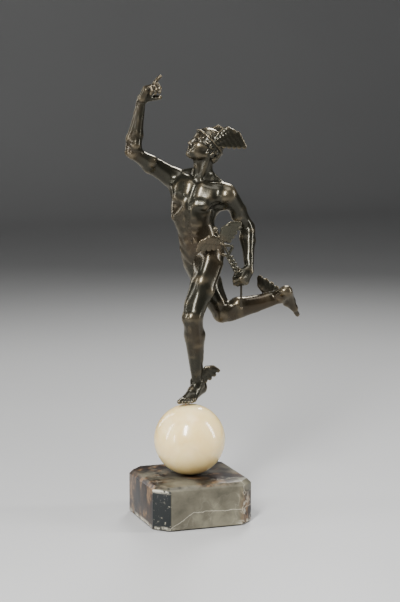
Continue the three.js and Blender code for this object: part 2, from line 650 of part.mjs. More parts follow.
// G is the upper arm that it hangs from
function forearm(c, F, G) {
  c.egg(F.start, [18, 17, 18], F.axes(), 13);
  c.cone(F.at([0.0, 0, 0]), 18.5, F.at([0.35, 0, 0]), 17.5, 14);
  c.cone(F.at([0.35, 0, 0]), 17, F.at([1.02, 0, 0]), 12, 13);
  c.cone(G.at([1.01, -15, 0]), 9, F.at([0.15, -14, -6]), 8, 12);
  c.cone(G.at([0.86, 2, 13]), 10, F.at([0.15, 6, 15]), 14, 14);
  c.cone(F.at([0.15, 6, 15]), 14, F.at([0.62, 5, 10]), 8.5, 14);
  c.cone(F.at([-0.02, 6, -14]), 12, F.at([0.25, 9, -10]), 16, 14);
  c.cone(F.at([0.25, 9, -10]), 16, F.at([0.75, 6, -5]), 8, 14);
  c.cone(F.at([0.02, -8, 10]), 13, F.at([0.32, -10, 6]), 14, 14);
  c.cone(F.at([0.32, -10, 6]), 14, F.at([0.78, -6, 3]), 8, 14);
  c.cone(F.at([0.10, -12, -7]), 9, F.at([0.96, -4, -9]), 7.5, 12);
  c.cone(F.at([0.70, 0, 5]), 10, F.at([1.04, 0, 6]), 9.5, 12);
  c.cone(F.at([0.70, 0, -5]), 10, F.at([1.04, 0, -6]), 9.5, 12);
}

// three finger bones from a knuckle, each turned further towards the palm
function finger(c, F, knuckle, turns, spread, bones, r) {
  let p = F.at(knuckle);
  let turn = 0;
  let width = r;
  const ahead = F.dir([Math.cos(rad(spread)), 0, Math.sin(rad(spread))]);
  for (let k = 0; k < 3; k += 1) {
    turn = turn + rad(turns[k]);
    const q = along(along(p, ahead, bones[k] * Math.cos(turn)), F.front, bones[k] * Math.sin(turn));
    c.cone(p, width, q, width * 0.91, 2);
    p = q;
    width = width * 0.91;
  }
}

// F runs from the wrist to the middle knuckle, its front out of the palm, its outer side to the thumb
function hand(c, F, turns, spreads, thumb) {
  const rays = [[51, 15.5, [26, 17, 13], 7.2], [53, 5, [29, 18, 14], 7.3], [50, -5.5, [27, 17, 13], 7],
    [45, -15, [21, 14, 11], 6.4]];
  for (let i = 0; i < 4; i += 1) {
    c.cone(F.at([4, 2, rays[i][1] * 0.4]), 9, F.at([rays[i][0] - 2, -1, rays[i][1]]), 8, 7);
    finger(c, F, [rays[i][0], 0, rays[i][1]], turns[i], spreads[i], rays[i][2], rays[i][3]);
  }
  c.cone(F.at([6, 6, 9]), 11, F.at([32, 8, 15]), 8, 8);
  c.cone(F.at([6, 6, -10]), 10, F.at([38, 7, -14]), 7.5, 8);
  let p = F.at([10, 5, 12]);
  for (const [t, f, o, wide, thin] of thumb) {
    const q = F.off(p, [t, f, o]);
    c.cone(p, wide, q, thin, 3);
    p = q;
  }
}

// H goes up through the crown, its front is the way the face looks
function head(c, H) {
  c.egg(H.at([16, -10, 0]), [52, 57, 45], H.axes(), 6);
  c.egg(H.at([-16, 12, 0]), [44, 34, 34], H.axes(), 16);
  c.cone(H.at([-50, 30, 0]), 14, H.at([-52, 31, 0]), 13, 8);
  for (const m of [-1, 1]) {
    c.cone(H.at([-50, 28, 6 * m]), 12, H.at([-32, -6, 32 * m]), 10, 14);
    c.cone(H.at([-12, 30, 25 * m]), 11, H.at([-8, 6, 38 * m]), 8, 12);
    c.cone(H.at([-36, 32, 12 * m]), 12, H.at([-18, 34, 16 * m]), 10, 12);
  }
  c.egg(H.at([16, 26, 0]), [26, 21, 33], H.axes(), 12);
  // brows and eyes
  for (const m of [-1, 1]) {
    c.cone(H.at([8, 43, 6 * m]), 4.5, H.at([8, 33, 29 * m]), 5, 6);
    c.pit(H.at([-2, 47, 17 * m]), [7.5, 9, 11], H.axes(), 5);
    c.egg(H.at([-2, 32, 17 * m]), [8.5, 8.5, 9.5], H.axes(), 2);
    c.cone(H.at([3.5, 41, 9 * m]), 1.8, H.at([4.5, 40.5, 17 * m]), 2.1, 1.5);
    c.cone(H.at([4.5, 40.5, 17 * m]), 2.1, H.at([1, 35, 27 * m]), 1.8, 1.5);
    c.cone(H.at([-7.5, 39.5, 10 * m]), 1.4, H.at([-8, 38.5, 18 * m]), 1.7, 1.5);
    c.cone(H.at([-8, 38.5, 18 * m]), 1.7, H.at([-3, 35, 26 * m]), 1.4, 1.5);
  }
  // nose
  c.cone(H.at([8, 44, 0]), 4.5, H.at([-20, 56, 0]), 5.5, 5);
  c.cone(H.at([2, 40, 0]), 7, H.at([-22, 46, 0]), 9, 5);
  for (const m of [-1, 1]) {
    c.egg(H.at([-22.5, 49, 6.5 * m]), [4.6, 6, 3.8], H.axes(), 3);
    c.pit(H.at([-26.5, 52, 3.5 * m]), [1.6, 3.5, 1.8], H.axes(), 1.5);
  }
  // mouth and chin
  c.egg(H.at([-40, 38, 0]), [15, 12, 19], H.axes(), 8);
  for (const m of [-1, 1]) {
    c.cone(H.at([-33.5, 49, 2 * m]), 3.6, H.at([-35.5, 44.5, 11 * m]), 2, 2.5);
  }
  c.cone(H.at([-41.5, 47.5, -4]), 4.2, H.at([-41.5, 47.5, 4]), 4.2, 2.5);
  c.pit(H.at([-37.6, 53, 0]), [0.9, 6, 11.5], H.axes(), 1.2);
  c.pit(H.at([-47, 50, 0]), [3, 5, 10], H.axes(), 4);
  c.egg(H.at([-56.5, 39, 0]), [9, 9, 11], H.axes(), 6);
}

// ear: F looks out of the head, its front runs up
function ear(c, F) {
  c.egg(F.at([1, 0, 0]), [4.5, 12.5, 7.5], F.axes(), 3);
  for (let k = 0; k < 7; k += 1) {
    const a = 1 - 0.58 * k;
    const b = a - 0.58;
    c.cone(F.at([4.5, 12 * Math.cos(a), 7.5 * Math.sin(a)]), 2.6,
      F.at([4.5, 12 * Math.cos(b), 7.5 * Math.sin(b)]), 2.6, 1.5);
  }
  c.egg(F.at([3.5, -11, 1.5]), [3.5, 4.5, 4], F.axes(), 2);
  c.egg(F.at([4, -2, 6]), [3, 4, 2.4], F.axes(), 1.5);
  c.pit(F.at([7, 0, 0.5]), [4.5, 6, 3.2], F.axes(), 2);
}

// spiral locks in rows under the brim, from the temples to the nape, and an ear among them
function curls(c, H) {
  for (const m of [-1, 1]) {
    for (const [first, count, drop, r] of [[36, 8, 10, 9], [104, 4, 24, 9], [124, 3, 37, 8]]) {
      for (let j = 0; j < count; j += 1) {
        const a = rad(first + (172 - first) * j / (count - 1));
        const f = 61 * Math.cos(a) - 9;
        const p = H.at([20 + (f + 6) * 0.34 - drop, f * (1 - drop * 0.004),
          (50 - drop * 0.26) * Math.sin(a) * m]);
        const out = minus(p, H.at([10 - drop * 0.6, -9, 0]));
        const F = new Frame(p, plus(p, out), H.along, H.front, 1);
        c.egg(F.at([-4, 0, 0]), [6, r, r], F.axes(), 3);
        volute(c, F, r, 3, 1 - 2 * (j % 2));
      }
    }
    ear(c, new Frame(H.at([-13, -7, 39 * m]), H.at([-13, -11, 49 * m]), H.along, H.front, 1));
  }
}

// round hat with a narrow brim, set back on the head
function hat(c, T) {
  c.egg(T.at([4, -4, 0]), [48, 58, 50], T.axes(), 2);
  c.egg(T.at([3, -3, 0]), [4.5, 63, 56], T.axes(), 2);
  for (let k = 0; k < 28; k += 1) {
    const a = k * 2 * Math.PI / 28;
    const b = (k + 1) * 2 * Math.PI / 28;
    c.cone(T.at([5 - 2 * Math.cos(a), -3 + 62 * Math.cos(a), 55 * Math.sin(a)]), 3.6,
       T.at([5 - 2 * Math.cos(b), -3 + 62 * Math.cos(b), 55 * Math.sin(b)]), 3.6, 1);
  }
}

// B runs from the wing's root to its tip, its front towards the arched leading edge, its outer side off the plate
function wing(c, B, length, arch, depth, rows) {
  const width = arch + depth;
  c.plate(B.at([length * 0.10, 0, 0]), width * 0.18, B.at([length * 0.42, arch * 0.45, 0]), width * 0.22, 4,
    B.outer, 0.2);
  c.cone(B.at([0, -depth * 0.1, 0]), width * 0.10, B.at([length * 0.28, arch * 0.90, 0]), width * 0.085, 3);
  c.cone(B.at([length * 0.28, arch * 0.90, 0]), width * 0.085, B.at([length * 0.58, arch * 0.86, 0]),
    width * 0.06, 3);
  // long feathers, from the tip back to the root, under a shorter layer
  for (const layer of [0, 1]) {
    for (let j = 0; j < rows; j += 1) {
      const k = j / (rows - 1);
      const x = length * (0.36 - 0.30 * k);
      const y = arch * (0.86 - 0.80 * k) - depth * 0.15 * k;
      const tipX = length * (1 - 0.82 * k);
      const tipY = -depth * k * (1.5 - 0.5 * k);
      const share = 1 - 0.42 * layer;
      const lift = width * (0.06 * layer + 0.02 * (1 - k));
      const mid = [x + (tipX - x) * 0.55 * share, y + (tipY - y) * 0.26 * share];
      const tip = [x + (tipX - x) * share, y + (tipY - y) * share * share];
      const r = length * 0.43 / (rows - 1) * (1 - 0.15 * layer);
      c.plate(B.at([x, y, lift]), r * 0.9, B.at([mid[0], mid[1], lift]), r * 1.1, 1.2, B.outer, 0.42);
      c.plate(B.at([mid[0], mid[1], lift]), r * 1.1, B.at([tip[0], tip[1], lift * 0.6]), r * 0.72, 1.2,
        B.outer, 0.42);
    }
  }
  // short feathers over the arm
  for (let j = 0; j < rows; j += 1) {
    const k = (j + 0.4) / rows;
    const p = [length * 0.46 * k, arch * (0.84 * k) + depth * 0.05];
    c.cone(B.at([p[0], p[1] - width * 0.06, width * 0.09]), width * 0.05,
       B.at([p[0] + width * 0.16, p[1] - width * 0.17, width * 0.08]), width * 0.04, 1);
  }
}

// flat spiral cord, F.along is the way it faces
function volute(c, F, r, cord, sense) {
  for (let k = 0; k < 9; k += 1) {
    const a = sense * k * 2 * Math.PI * 1.25 / 9;
    const b = sense * (k + 1) * 2 * Math.PI * 1.25 / 9;
    const p = F.at([0, r * (1 - k * 0.094) * Math.cos(a), r * (1 - k * 0.094) * Math.sin(a)]);
    const q = F.at([0, r * (0.906 - k * 0.094) * Math.cos(b), r * (0.906 - k * 0.094) * Math.sin(b)]);
    c.cone(p, cord * (1 - k * 0.033), q, cord * (0.967 - k * 0.033), 1);
  }
}

function figure(c) {
  const s = skeleton();
  const left = minus(s.hip_L, s.hip_R);
  const P = new Frame(s.pelvis, s.chest, heading(60, 0), left, 1);
  const C = new Frame(s.chest, s.neck, heading(38, 0), left, 1);
  const W = new Frame(s.pelvis, s.chest, heading(47, 0), left, 1);
  const H = new Frame(s.head, go(s.head, 1, -90, 60), heading(90, 30), left, 1);
  torso(c, s, P, C, W);
  neck(c, C, H);
  head(c, H);
  curls(c, H);
  let T = new Frame(H.at([15, -6, 0]), H.at([15 + Math.cos(rad(19)), -6 - Math.sin(rad(19)), 0]), H.front,
    H.outer, 1);
  hat(c, T);
  for (const m of [-1, 1]) {
    const root = T.at([12, 4, 48 * m]);
    const B = new Frame(root, along(root, T.dir([0.59, -0.80, 0.20 * m]), 1), T.along, times(T.outer, m), 1);
    wing(c, B, 111, 56, 14, 6);
    const F = new Frame(T.at([19, 22, 50 * m]), T.at([19, 22, 51 * m]), T.along, T.front, 1);
    volute(c, F, 11, 3.4, 1);
  }
  // standing left leg, kicked right leg: each frame's front is the way the knee cap or the instep looks
  for (const [m, hip, knee, ankle, thighFront, shinFront, sole, instep, toes] of [
      [1, "hip_L", "knee_L", "ankle_L", [40, 0], [34, 0], [50, -13], [50, 77], [50, -2]],
      [-1, "hip_R", "knee_R", "ankle_R", [60, 20], [90, -70], [-140, -42], [109, -15], [-132, -50]]]) {
    const side = times(left, m);
    const U = new Frame(s[hip], s[knee], heading(thighFront[0], thighFront[1]), side);
    const S = new Frame(s[knee], s[ankle], heading(shinFront[0], shinFront[1]), side);
    const K = new Frame(s[knee], minus(s[ankle], minus(s[hip], s[knee])), plus(U.front, S.front), side, 1);
    const A = new Frame(s[ankle], go(s[ankle], 1, sole[0], sole[1]), heading(instep[0], instep[1]), side, 1);
    const tread = A.at([74, -33, 0]);
    T = new Frame(tread, go(tread, 1, toes[0], toes[1]), heading(instep[0], instep[1]), side, 1);
    thigh(c, U);
    shin(c, S, K);
    foot(c, A, T);
    const root = S.at(two(m, [0.915, -14, 12], [0.86, -8, 15]));
    const reach = two(m, heading(108, 50), heading(-74, 10));
    const B = new Frame(root, along(root, reach, 1), two(m, heading(110, -48), heading(110, 72)),
      heading(20, 9), 1);
    wing(c, B, two(m, 84, 64), 18, two(m, 20, 28), 4);
  }
  // raised right arm with an open hand, lowered left arm with a fist
  for (const [shoulder, elbow, wrist, armFront, armSide, foreFront, foreSide] of [
      ["shoulder_R", "elbow_R", "wrist_R", [40, 40], [134, 13], [60, 0], [-60, 0]],
      ["shoulder_L", "elbow_L", "wrist_L", [50, 0], [-46, -13], [60, 10], [-40, 0]]]) {
    const U = new Frame(s[shoulder], s[elbow], heading(armFront[0], armFront[1]),
      heading(armSide[0], armSide[1]));
    const S = new Frame(s[elbow], s[wrist], heading(foreFront[0], foreFront[1]),
      heading(foreSide[0], foreSide[1]));
    upperArm(c, U);
    forearm(c, S, U);
  }
  const F = new Frame(s.wrist_R, go(s.wrist_R, 1, -62, 57), heading(-34, -26), heading(-150, 0), 1);
  hand(c, F, [[-8, 6, 6], [26, 36, 24], [38, 46, 28], [46, 52, 30]], [6, 1, -4, -9],
    [[14, 14, 12, 11.5, 9.5], [10, 16, 4, 9.5, 7.8], [6, 14, 0, 7.8, 6.4]]);
  const G = grip(s);
  hand(c, G, [[58, 84, 60], [60, 86, 62], [62, 88, 62], [66, 90, 62]], [0, 0, 0, 0],
    [[14, 10, 12, 11, 8.8], [12, 13, -3, 8.8, 7.6], [7, 8, -9, 7.6, 6.6]]);
  c.cone(G.at([40, 13, -18]), 9, G.at([40, 13, 16]), 9, 4);
  return s;
}

function grip(s) {
  return new Frame(s.wrist_L, go(s.wrist_L, 1, 64, -48), heading(150, -5), heading(69, 57), 1);
}

// frame of the staff: up through its knob, front to the viewer, the wings spread to its sides
function staffFrame(s) {
  const hold = grip(s).at([41, 14, 0]);
  return new Frame(hold, go(hold, 1, 69, 57), heading(20, 0), heading(-70, 0), 1);
}

function caduceus(c, s) {
  const R = staffFrame(s);
  c.cone(R.at([50, 0, 0]), 4.4, R.at([225, 0, 0]), 4.6, 1);
  c.egg(R.at([229, 0, 0]), [9, 8.5, 8.5], R.axes(), 2);
  c.egg(R.at([217, 0, 0]), [2.4, 7, 7], R.axes(), 1);
  c.egg(R.at([196, 0, 0]), [5, 8, 8], R.axes(), 2);
  c.egg(R.at([168, 0, 0]), [4, 8, 8], R.axes(), 2);
  for (const m of [-1, 1]) {
    const root = R.at([180, 0, 3 * m]);
    const B = new Frame(root, along(root, R.dir([two(m, 0.03, 0.30), 0, m]), 1), R.along, R.front, 1);
    wing(c, B, 84, 26, 18, 4);
    // a snake in two turns about the staff, opening into a loop under the wings
    const steps = 30;
    for (let k = 0; k < steps; k += 1) {
      const a = snake(R, m, k / steps);
      const b = snake(R, m, (k + 1) / steps);
      c.cone(a, 2.6 + 1.6 * k / steps, b, 2.6 + 1.6 * (k + 1) / steps, 1);
    }
    c.egg(snake(R, m, 1.02), [4.6, 4.4, 6.6], R.axes(), 1);
  }
}

function snake(R, m, q) {
  const turn = Math.PI * (0.5 + 3.9 * q);
  const swing = 8 + 20 * q * q * q;
  return R.at([38 + 112 * q + 14 * q * q * q, 8.2 * Math.sin(turn + Math.PI * (m - 1) / 2),
    swing * m * Math.cos(turn)]);
}

const wasm = await Module();
wasm.setup();

function solid(geometry) {
  const g = geometry.clone();
  g.deleteAttribute("normal");
  g.deleteAttribute("uv");
  const merged = mergeVertices(g, 1e-4);
  return new wasm.Manifold(
    new wasm.Mesh({
      numProp: 3,
      vertProperties: merged.attributes.position.array,
      triVerts: new Uint32Array(merged.index.array),
    }),
  );
}

function geometryOf(manifold) {
  const mesh = manifold.getMesh();
  const g = new THREE.BufferGeometry();
  g.setAttribute("position", new THREE.Float32BufferAttribute(mesh.vertProperties, 3));
  g.setIndex(new THREE.BufferAttribute(mesh.triVerts, 1));
  return g;
}

// the largest body of a cut solid
function mainBody(manifold) {
  return manifold.decompose().sort((a, b) => b.volume() - a.volume())[0];
}

const inMm = (p) => new THREE.Vector3(p[0] * UNIT, p[1] * UNIT, p[2] * UNIT + FOOTING);

// a ball at a point given in thousandths of the stature
function bead(p, diameter) {
  return new THREE.SphereGeometry(diameter / 2, 12, 8).translate(...inMm(p));
}

// a straight rod between two such points
function rod(a, b, diameter, sides = 16) {
  const [p, q] = [inMm(a), inMm(b)];
  const g = new THREE.CylinderGeometry(diameter / 2, diameter / 2, p.distanceTo(q), sides);
  g.applyQuaternion(new THREE.Quaternion().setFromUnitVectors(new THREE.Vector3(0, 1, 0),
    q.clone().sub(p).normalize()));
  return g.translate(...p.add(q).multiplyScalar(0.5));
}

const bronze = () => new THREE.MeshStandardMaterial({ color: 0x2c241b, metalness: 0.9, roughness: 0.35 });
const alabaster = new THREE.MeshStandardMaterial({ color: 0xeee2c4, roughness: 0.25 });
const marble = new THREE.MeshStandardMaterial({ color: 0x6b6354, roughness: 0.2 });
const padding = new THREE.MeshStandardMaterial({ color: 0x2b2825, roughness: 0.9 });

const part = new THREE.Group();

function piece(name, geometry, material) {
  const mesh = new THREE.Mesh(geometry, material);
  mesh.name = name;
  part.add(mesh);
  return mesh;
}

const ballOf = (radius) => new THREE.SphereGeometry(radius, 32, 20).rotateX(Math.PI / 2).translate(0, 0,
  BALL_CENTRE);

// square block with cut corners: straight sides, then a bevel round the top
function baseBlock() {
  const half = BASE_SIDE / 2;
  const outline = (inset, height) => {
    const h = half - inset;
    const c = half - BASE_CORNER_CUT - inset * (Math.SQRT2 - 1);
    return [[h, -c], [h, c], [c, h], [-c, h], [-h, c], [-h, -c], [-c, -h],
      [c, -h]].map(([x, y]) => [x, y, height]);
  };
  const levels = [[0, PAD_HEIGHT + GAP], [0, BASE_HEIGHT - BASE_BEVEL], [BASE_BEVEL, BASE_HEIGHT]];
  const points = levels.map(([inset, height]) => outline(inset, height)).flat(2);
  const faces = [];
  for (let r = 0; r < 2; r += 1)
    for (let k = 0; k < 8; k += 1) {
      const next = (k + 1) % 8;
      faces.push(r * 8 + k, r * 8 + next, r * 8 + 8 + next, r * 8 + k, r * 8 + 8 + next, r * 8 + 8 + k);
    }
  for (let k = 1; k < 7; k += 1) faces.push(0, k + 1, k, 16, 16 + k, 17 + k);
  const g = new THREE.BufferGeometry();
  g.setAttribute("position", new THREE.Float32BufferAttribute(points, 3));
  g.setIndex(faces);
  return g;
}

const ballHole = solid(ballOf(BALL_DIAMETER / 2 + GAP));

// the figure, its sole hollowed to the ball and its fist bored for the staff
const clay = new Clay();
const joints = figure(clay);
const held = staffFrame(joints);
const tailEnd = go(held.start, TAIL_REACH, 0, -90);
const fistHoles = [
  rod(held.start, held.at([60, 0, 0]), ROD_DIAMETER + 2 * GAP),
  rod(held.start, tailEnd, TAIL_DIAMETER + 2 * GAP),
  bead(held.start, ROD_DIAMETER + 2 * GAP),
];
let body = solid(modelled(clay, 3.4, 5350)).subtract(ballHole);
for (const hole of fistHoles) body = body.subtract(solid(hole));
piece("figure", geometryOf(mainBody(body)), bronze());

// the staff: straight rods through the fist, with the knob, wings and snakes grown onto them
const staffClay = new Clay();
caduceus(staffClay, joints);
const staff = solid(modelled(staffClay, 2.2, 1250))
  .add(solid(rod(held.start, held.at([70, 0, 0]), ROD_DIAMETER)))
  .add(solid(rod(held.start, tailEnd, TAIL_DIAMETER)))
  .add(solid(bead(held.start, ROD_DIAMETER)))
  .add(solid(bead(tailEnd, TAIL_DIAMETER * 1.4)));
piece("caduceus", geometryOf(mainBody(staff)), bronze());

piece("ball", ballOf(BALL_DIAMETER / 2), alabaster);
piece("marble_base", geometryOf(solid(baseBlock()).subtract(ballHole)), marble);

for (const [name, x, y] of [["front_left", -1, -1], ["front_right", 1, -1], ["back_left", -1, 1],
  ["back_right", 1, 1]]) {
  const pad = new THREE.CylinderGeometry(PAD_DIAMETER / 2, PAD_DIAMETER / 2, PAD_HEIGHT,
    24).rotateX(Math.PI / 2);
  const reach = BASE_SIDE / 2 - PAD_INSET;
  piece("pad_" + name, pad, padding).position.set(x * reach, y * reach, PAD_HEIGHT / 2);
}

export default part;
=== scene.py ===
# A running messenger god in bronze, standing on an alabaster ball on a square block of veined marble.
# The figure and its staff are modelled as soft clay shapes on bones, in thousandths of the figure's stature,
# and skinned once. The ball, the block and its pads are modelled at the frame's own sizes.
import json
from math import atan2, cos, pi, radians, sin, sqrt

import bpy
import numpy as np
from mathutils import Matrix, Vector

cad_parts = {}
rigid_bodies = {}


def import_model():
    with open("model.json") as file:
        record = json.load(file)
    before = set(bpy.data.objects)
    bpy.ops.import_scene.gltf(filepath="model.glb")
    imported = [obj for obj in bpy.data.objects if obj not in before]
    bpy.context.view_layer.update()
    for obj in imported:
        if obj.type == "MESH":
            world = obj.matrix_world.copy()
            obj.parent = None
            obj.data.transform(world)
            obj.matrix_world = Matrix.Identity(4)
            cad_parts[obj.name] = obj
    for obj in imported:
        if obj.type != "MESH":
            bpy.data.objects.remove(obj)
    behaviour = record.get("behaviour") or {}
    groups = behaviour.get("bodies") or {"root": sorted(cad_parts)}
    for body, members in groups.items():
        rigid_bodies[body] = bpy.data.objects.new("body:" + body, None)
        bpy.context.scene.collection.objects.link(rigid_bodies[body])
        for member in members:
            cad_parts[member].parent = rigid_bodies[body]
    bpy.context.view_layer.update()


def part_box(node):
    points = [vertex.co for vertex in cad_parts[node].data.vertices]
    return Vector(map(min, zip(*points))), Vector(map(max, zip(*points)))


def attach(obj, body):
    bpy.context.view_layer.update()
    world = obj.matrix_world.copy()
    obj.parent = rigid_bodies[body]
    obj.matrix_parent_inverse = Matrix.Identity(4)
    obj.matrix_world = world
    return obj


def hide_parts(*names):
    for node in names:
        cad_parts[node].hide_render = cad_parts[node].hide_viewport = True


bl_info = {
    "name": "Bronze messenger statuette",
    "version": (1, 0, 0),
    "blender": (4, 5, 0),
    "location": "View3D > Sidebar > Statuette",
    "description": "Bronze figure, staff, alabaster ball and veined marble base round a fixed frame",
    "category": "Add Mesh",
}

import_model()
BALL_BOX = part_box("ball")
BLOCK_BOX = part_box("marble_base")

# spacing of the staff's grid and reach of the figure's smoothing, in thousandths of the stature
STAFF_STEP = 0.8
EVEN_REACH = 30
# triangles of the two bronzes, and the rounds and depth in metres that their relief is read with
FIGURE_TRIANGLES = 190000
STAFF_TRIANGLES = 90000
FIGURE_RELIEF = (14, 0.0009)
STAFF_RELIEF = (8, 0.0004)
# how much lighter the staff's bronze is painted than the figure's: a lit copy of the same bronze, painted
# highlight for the light that the staff's engraved wings catch
STAFF_PAINTED_LIGHTER = 2.2
# room between the ball and its seat in the block
SEAT_ROOM = 0.0002
# places and sizes of the chips along the block's foot: across, ahead, in metres, and radius in millimetres
CHIPS = ((-0.058, -0.071, 2.6), (-0.049, -0.073, 2.2), (-0.071, -0.055, 2.0), (-0.030, -0.0735, 1.2),
         (0.004, -0.0735, 1.0), (0.033, -0.0735, 1.4), (0.055, -0.071, 2.4), (0.063, -0.064, 1.8))
# where the marble changes, in metres: its left side, top, right edge and front left corner, the level, bend
# and half width of the long vein, and the crust on the corner and along the foot
LEFT_FROM = -0.066
TOP_FROM = 0.0575
RIGHT_FROM = 0.046
CORNER_FROM = 0.1225
VEIN_LEVEL = 0.0245
VEIN_BEND = -0.018
VEIN_HALF_WIDTH = 0.0007
CRUST_FROM = 0.052
FOOT_UP_TO = 0.0075
# floor with its back edge swept up, and the dim sky over it
FLOOR_SIZE = (24.0, 17.2, 1.0)
FLOOR_MIDDLE = (0, -3.4, 0)
SWEEP_HEIGHT = 4.0
SWEEP_RADIUS = 1.6
SKY = (0.80, 0.82, 0.85, 1.0)
SKY_STRENGTH = 0.10
# camera: bearing from the front towards the left and rise in degrees, distance and the place it looks at
# in metres, focal length and height of the picture in pixels, and the sensor's height in millimetres
CAMERA_BEARING = 19.5
CAMERA_RISE = 8.7
CAMERA_DISTANCE = 2.6
CAMERA_ASIDE = 0.0146
CAMERA_HEIGHT = 0.306
FOCAL_PIXELS = 1880.0
PICTURE_HEIGHT = 602.0
SENSOR = 36.0
# lights: name, bearing, rise, distance, width, height, power
LIT_PLACE = (0.03, 0.0, 0.33)
LIGHTS = (("key", 36, 34, 1.5, 0.24, 0.9, 54.0), ("side", -68, 20, 1.6, 0.16, 1.3, 26.0),
          ("left", 98, 18, 1.6, 0.14, 1.3, 15.0), ("top", -20, 78, 1.5, 0.8, 0.8, 10.0),
          ("back", -150, 38, 1.8, 0.4, 1.0, 24.0), ("behind", 155, 18, 1.7, 0.18, 1.2, 6.0),
          ("low", 70, 1, 1.5, 0.12, 0.5, 4.0))

# clay: shapes with soft joins, in thousandths of the stature
FAR = 1000.0


def unit(v):
    v = np.asarray(v, float)
    return v / np.linalg.norm(v)


# direction at a bearing from the base's front towards its left, and a rise above level, in degrees
def heading(bearing, rise=0.0):
    b, r = radians(bearing), radians(rise)
    return np.array([-sin(b) * cos(r), -cos(b) * cos(r), sin(r)])


def mix(a, b, k):
    return np.add(np.multiply(a, 1 - k), np.multiply(b, k))


def along(p, d, k):
    return np.add(p, np.multiply(d, k))


def go(p, length, bearing, rise):
    return along(p, heading(bearing, rise), length)


# a bone: a point on it is (share of its length, towards its front, towards its outer side)
class Frame:
    def __init__(self, start, end, front, side, length=None):
        self.start = np.asarray(start, float)
        span = np.asarray(end, float) - self.start
        self.length = np.linalg.norm(span) if length is None else length
        self.along = unit(span)
        self.front = unit(front - self.along * np.dot(front, self.along))
        outer = np.cross(self.along, self.front)
        self.outer = outer if np.dot(outer, side) > 0 else -outer

    def dir(self, p):
        return unit(self.along * p[0] + self.front * p[1] + self.outer * p[2])

    def off(self, point, p):
        return point + self.along * p[0] + self.front * p[1] + self.outer * p[2]

    def at(self, p):
        return self.off(self.start, [p[0] * self.length, p[1], p[2]])

    def axes(self):
        return np.array([self.along, self.front, self.outer])


class Clay:
    def __init__(self):
        self.shapes = []

    def cone(self, a, ra, b, rb, blend, flat=None, cut=False):
        ends = (np.asarray(a, float), float(ra), np.asarray(b, float), float(rb))
        self.shapes.append(("cone", *ends, flat, float(blend), cut))

    # a run of rods through points of a frame, each point with its radius
    def rods(self, frame, blend, *points):
        for (*a, ra), (*b, rb) in zip(points, points[1:]):
            self.cone(frame.at(a), ra, frame.at(b), rb, blend)

    def plate(self, a, ra, b, rb, blend, normal, share):
        self.cone(a, ra, b, rb, blend, (normal, share))

    def groove(self, a, ra, b, rb, blend):
        self.cone(a, ra, b, rb, blend, None, True)

    def egg(self, c, radii, axes, blend, cut=False):
        body = (np.asarray(c, float), np.asarray(radii, float), np.asarray(axes, float))
        self.shapes.append(("egg", *body, float(blend), cut))

    def lump(self, frame, place, radii, blend):
        self.egg(frame.at(place), radii, frame.axes(), blend)

    def pit(self, frame, place, radii, blend):
        self.egg(frame.at(place), radii, frame.axes(), blend, True)


def cone_distance(x, y, z, a, ra, b, rb):
    ba = b - a
    l2 = ba @ ba
    rr = ra - rb
    a2 = l2 - rr * rr
    il2 = 1.0 / l2
    px, py, pz = x - a[0], y - a[1], z - a[2]
    yy = px * ba[0] + py * ba[1] + pz * ba[2]
    zz = yy - l2
    qx, qy, qz = px * l2 - ba[0] * yy, py * l2 - ba[1] * yy, pz * l2 - ba[2] * yy
    x2 = qx * qx + qy * qy + qz * qz
    y2 = yy * yy * l2
    z2 = zz * zz * l2
    k = np.sign(rr) * rr * rr * x2
    d = (np.sqrt(x2 * a2 * il2) + yy * rr) * il2 - ra
    far_b = np.sign(zz) * a2 * z2 > k
    far_a = np.sign(yy) * a2 * y2 < k
    d = np.where(far_b, np.sqrt(x2 + z2) * il2 - rb, d)
    d = np.where(far_a & ~far_b, np.sqrt(x2 + y2) * il2 - ra, d)
    return d


def egg_distance(x, y, z, c, radii, axes):
    px, py, pz = x - c[0], y - c[1], z - c[2]
    k0 = 0.0
    k1 = 0.0
    for axis, r in zip(axes, radii):
        q = (px * axis[0] + py * axis[1] + pz * axis[2]) / r
        k0 = k0 + q * q
        k1 = k1 + (q / r) ** 2
    k0 = np.sqrt(k0 + 1e-8)
    k1 = np.sqrt(k1 + 1e-8 / min(radii) ** 2)
    return k0 * (k0 - 1.0) / np.maximum(k1, 1e-9)


def shape_box(s):
    if s[0] == "cone":
        a, ra, b, rb = s[1:5]
        lo = np.minimum(a - ra, b - rb)
        hi = np.maximum(a + ra, b + rb)
    else:
        c, radii, axes = s[1:4]
        ext = np.sqrt(((axes * radii[:, None]) ** 2).sum(0))
        lo, hi = c - ext, c + ext
    return lo, hi, s[-2], s[-1]


def shape_distance(s, x, y, z):
    if s[0] == "egg":
        return egg_distance(x, y, z, *s[1:4])
    a, ra, b, rb, flat = s[1:6]
    if flat is None:
        return cone_distance(x, y, z, a, ra, b, rb)
    # a plate: space is stretched along its normal, so that the rod comes out flattened
    n, share = flat
    stretch = 1.0 / share - 1.0
    m = (a + b) / 2
    g = ((x - m[0]) * n[0] + (y - m[1]) * n[1] + (z - m[2]) * n[2]) * stretch
    x, y, z = x + g * n[0], y + g * n[1], z + g * n[2]
    a = a + n * ((a - m) @ n) * stretch
    b = b + n * ((b - m) @ n) * stretch
    return cone_distance(x, y, z, a, ra, b, rb) * sqrt(share)


def soft_min(a, b, k):
    h = np.maximum(k - np.abs(a - b), 0.0) / k
    return np.minimum(a, b) - h * h * k * 0.25


def soft_max(a, b, k):
    h = np.maximum(k - np.abs(a - b), 0.0) / k
    return np.maximum(a, b) + h * h * k * 0.25


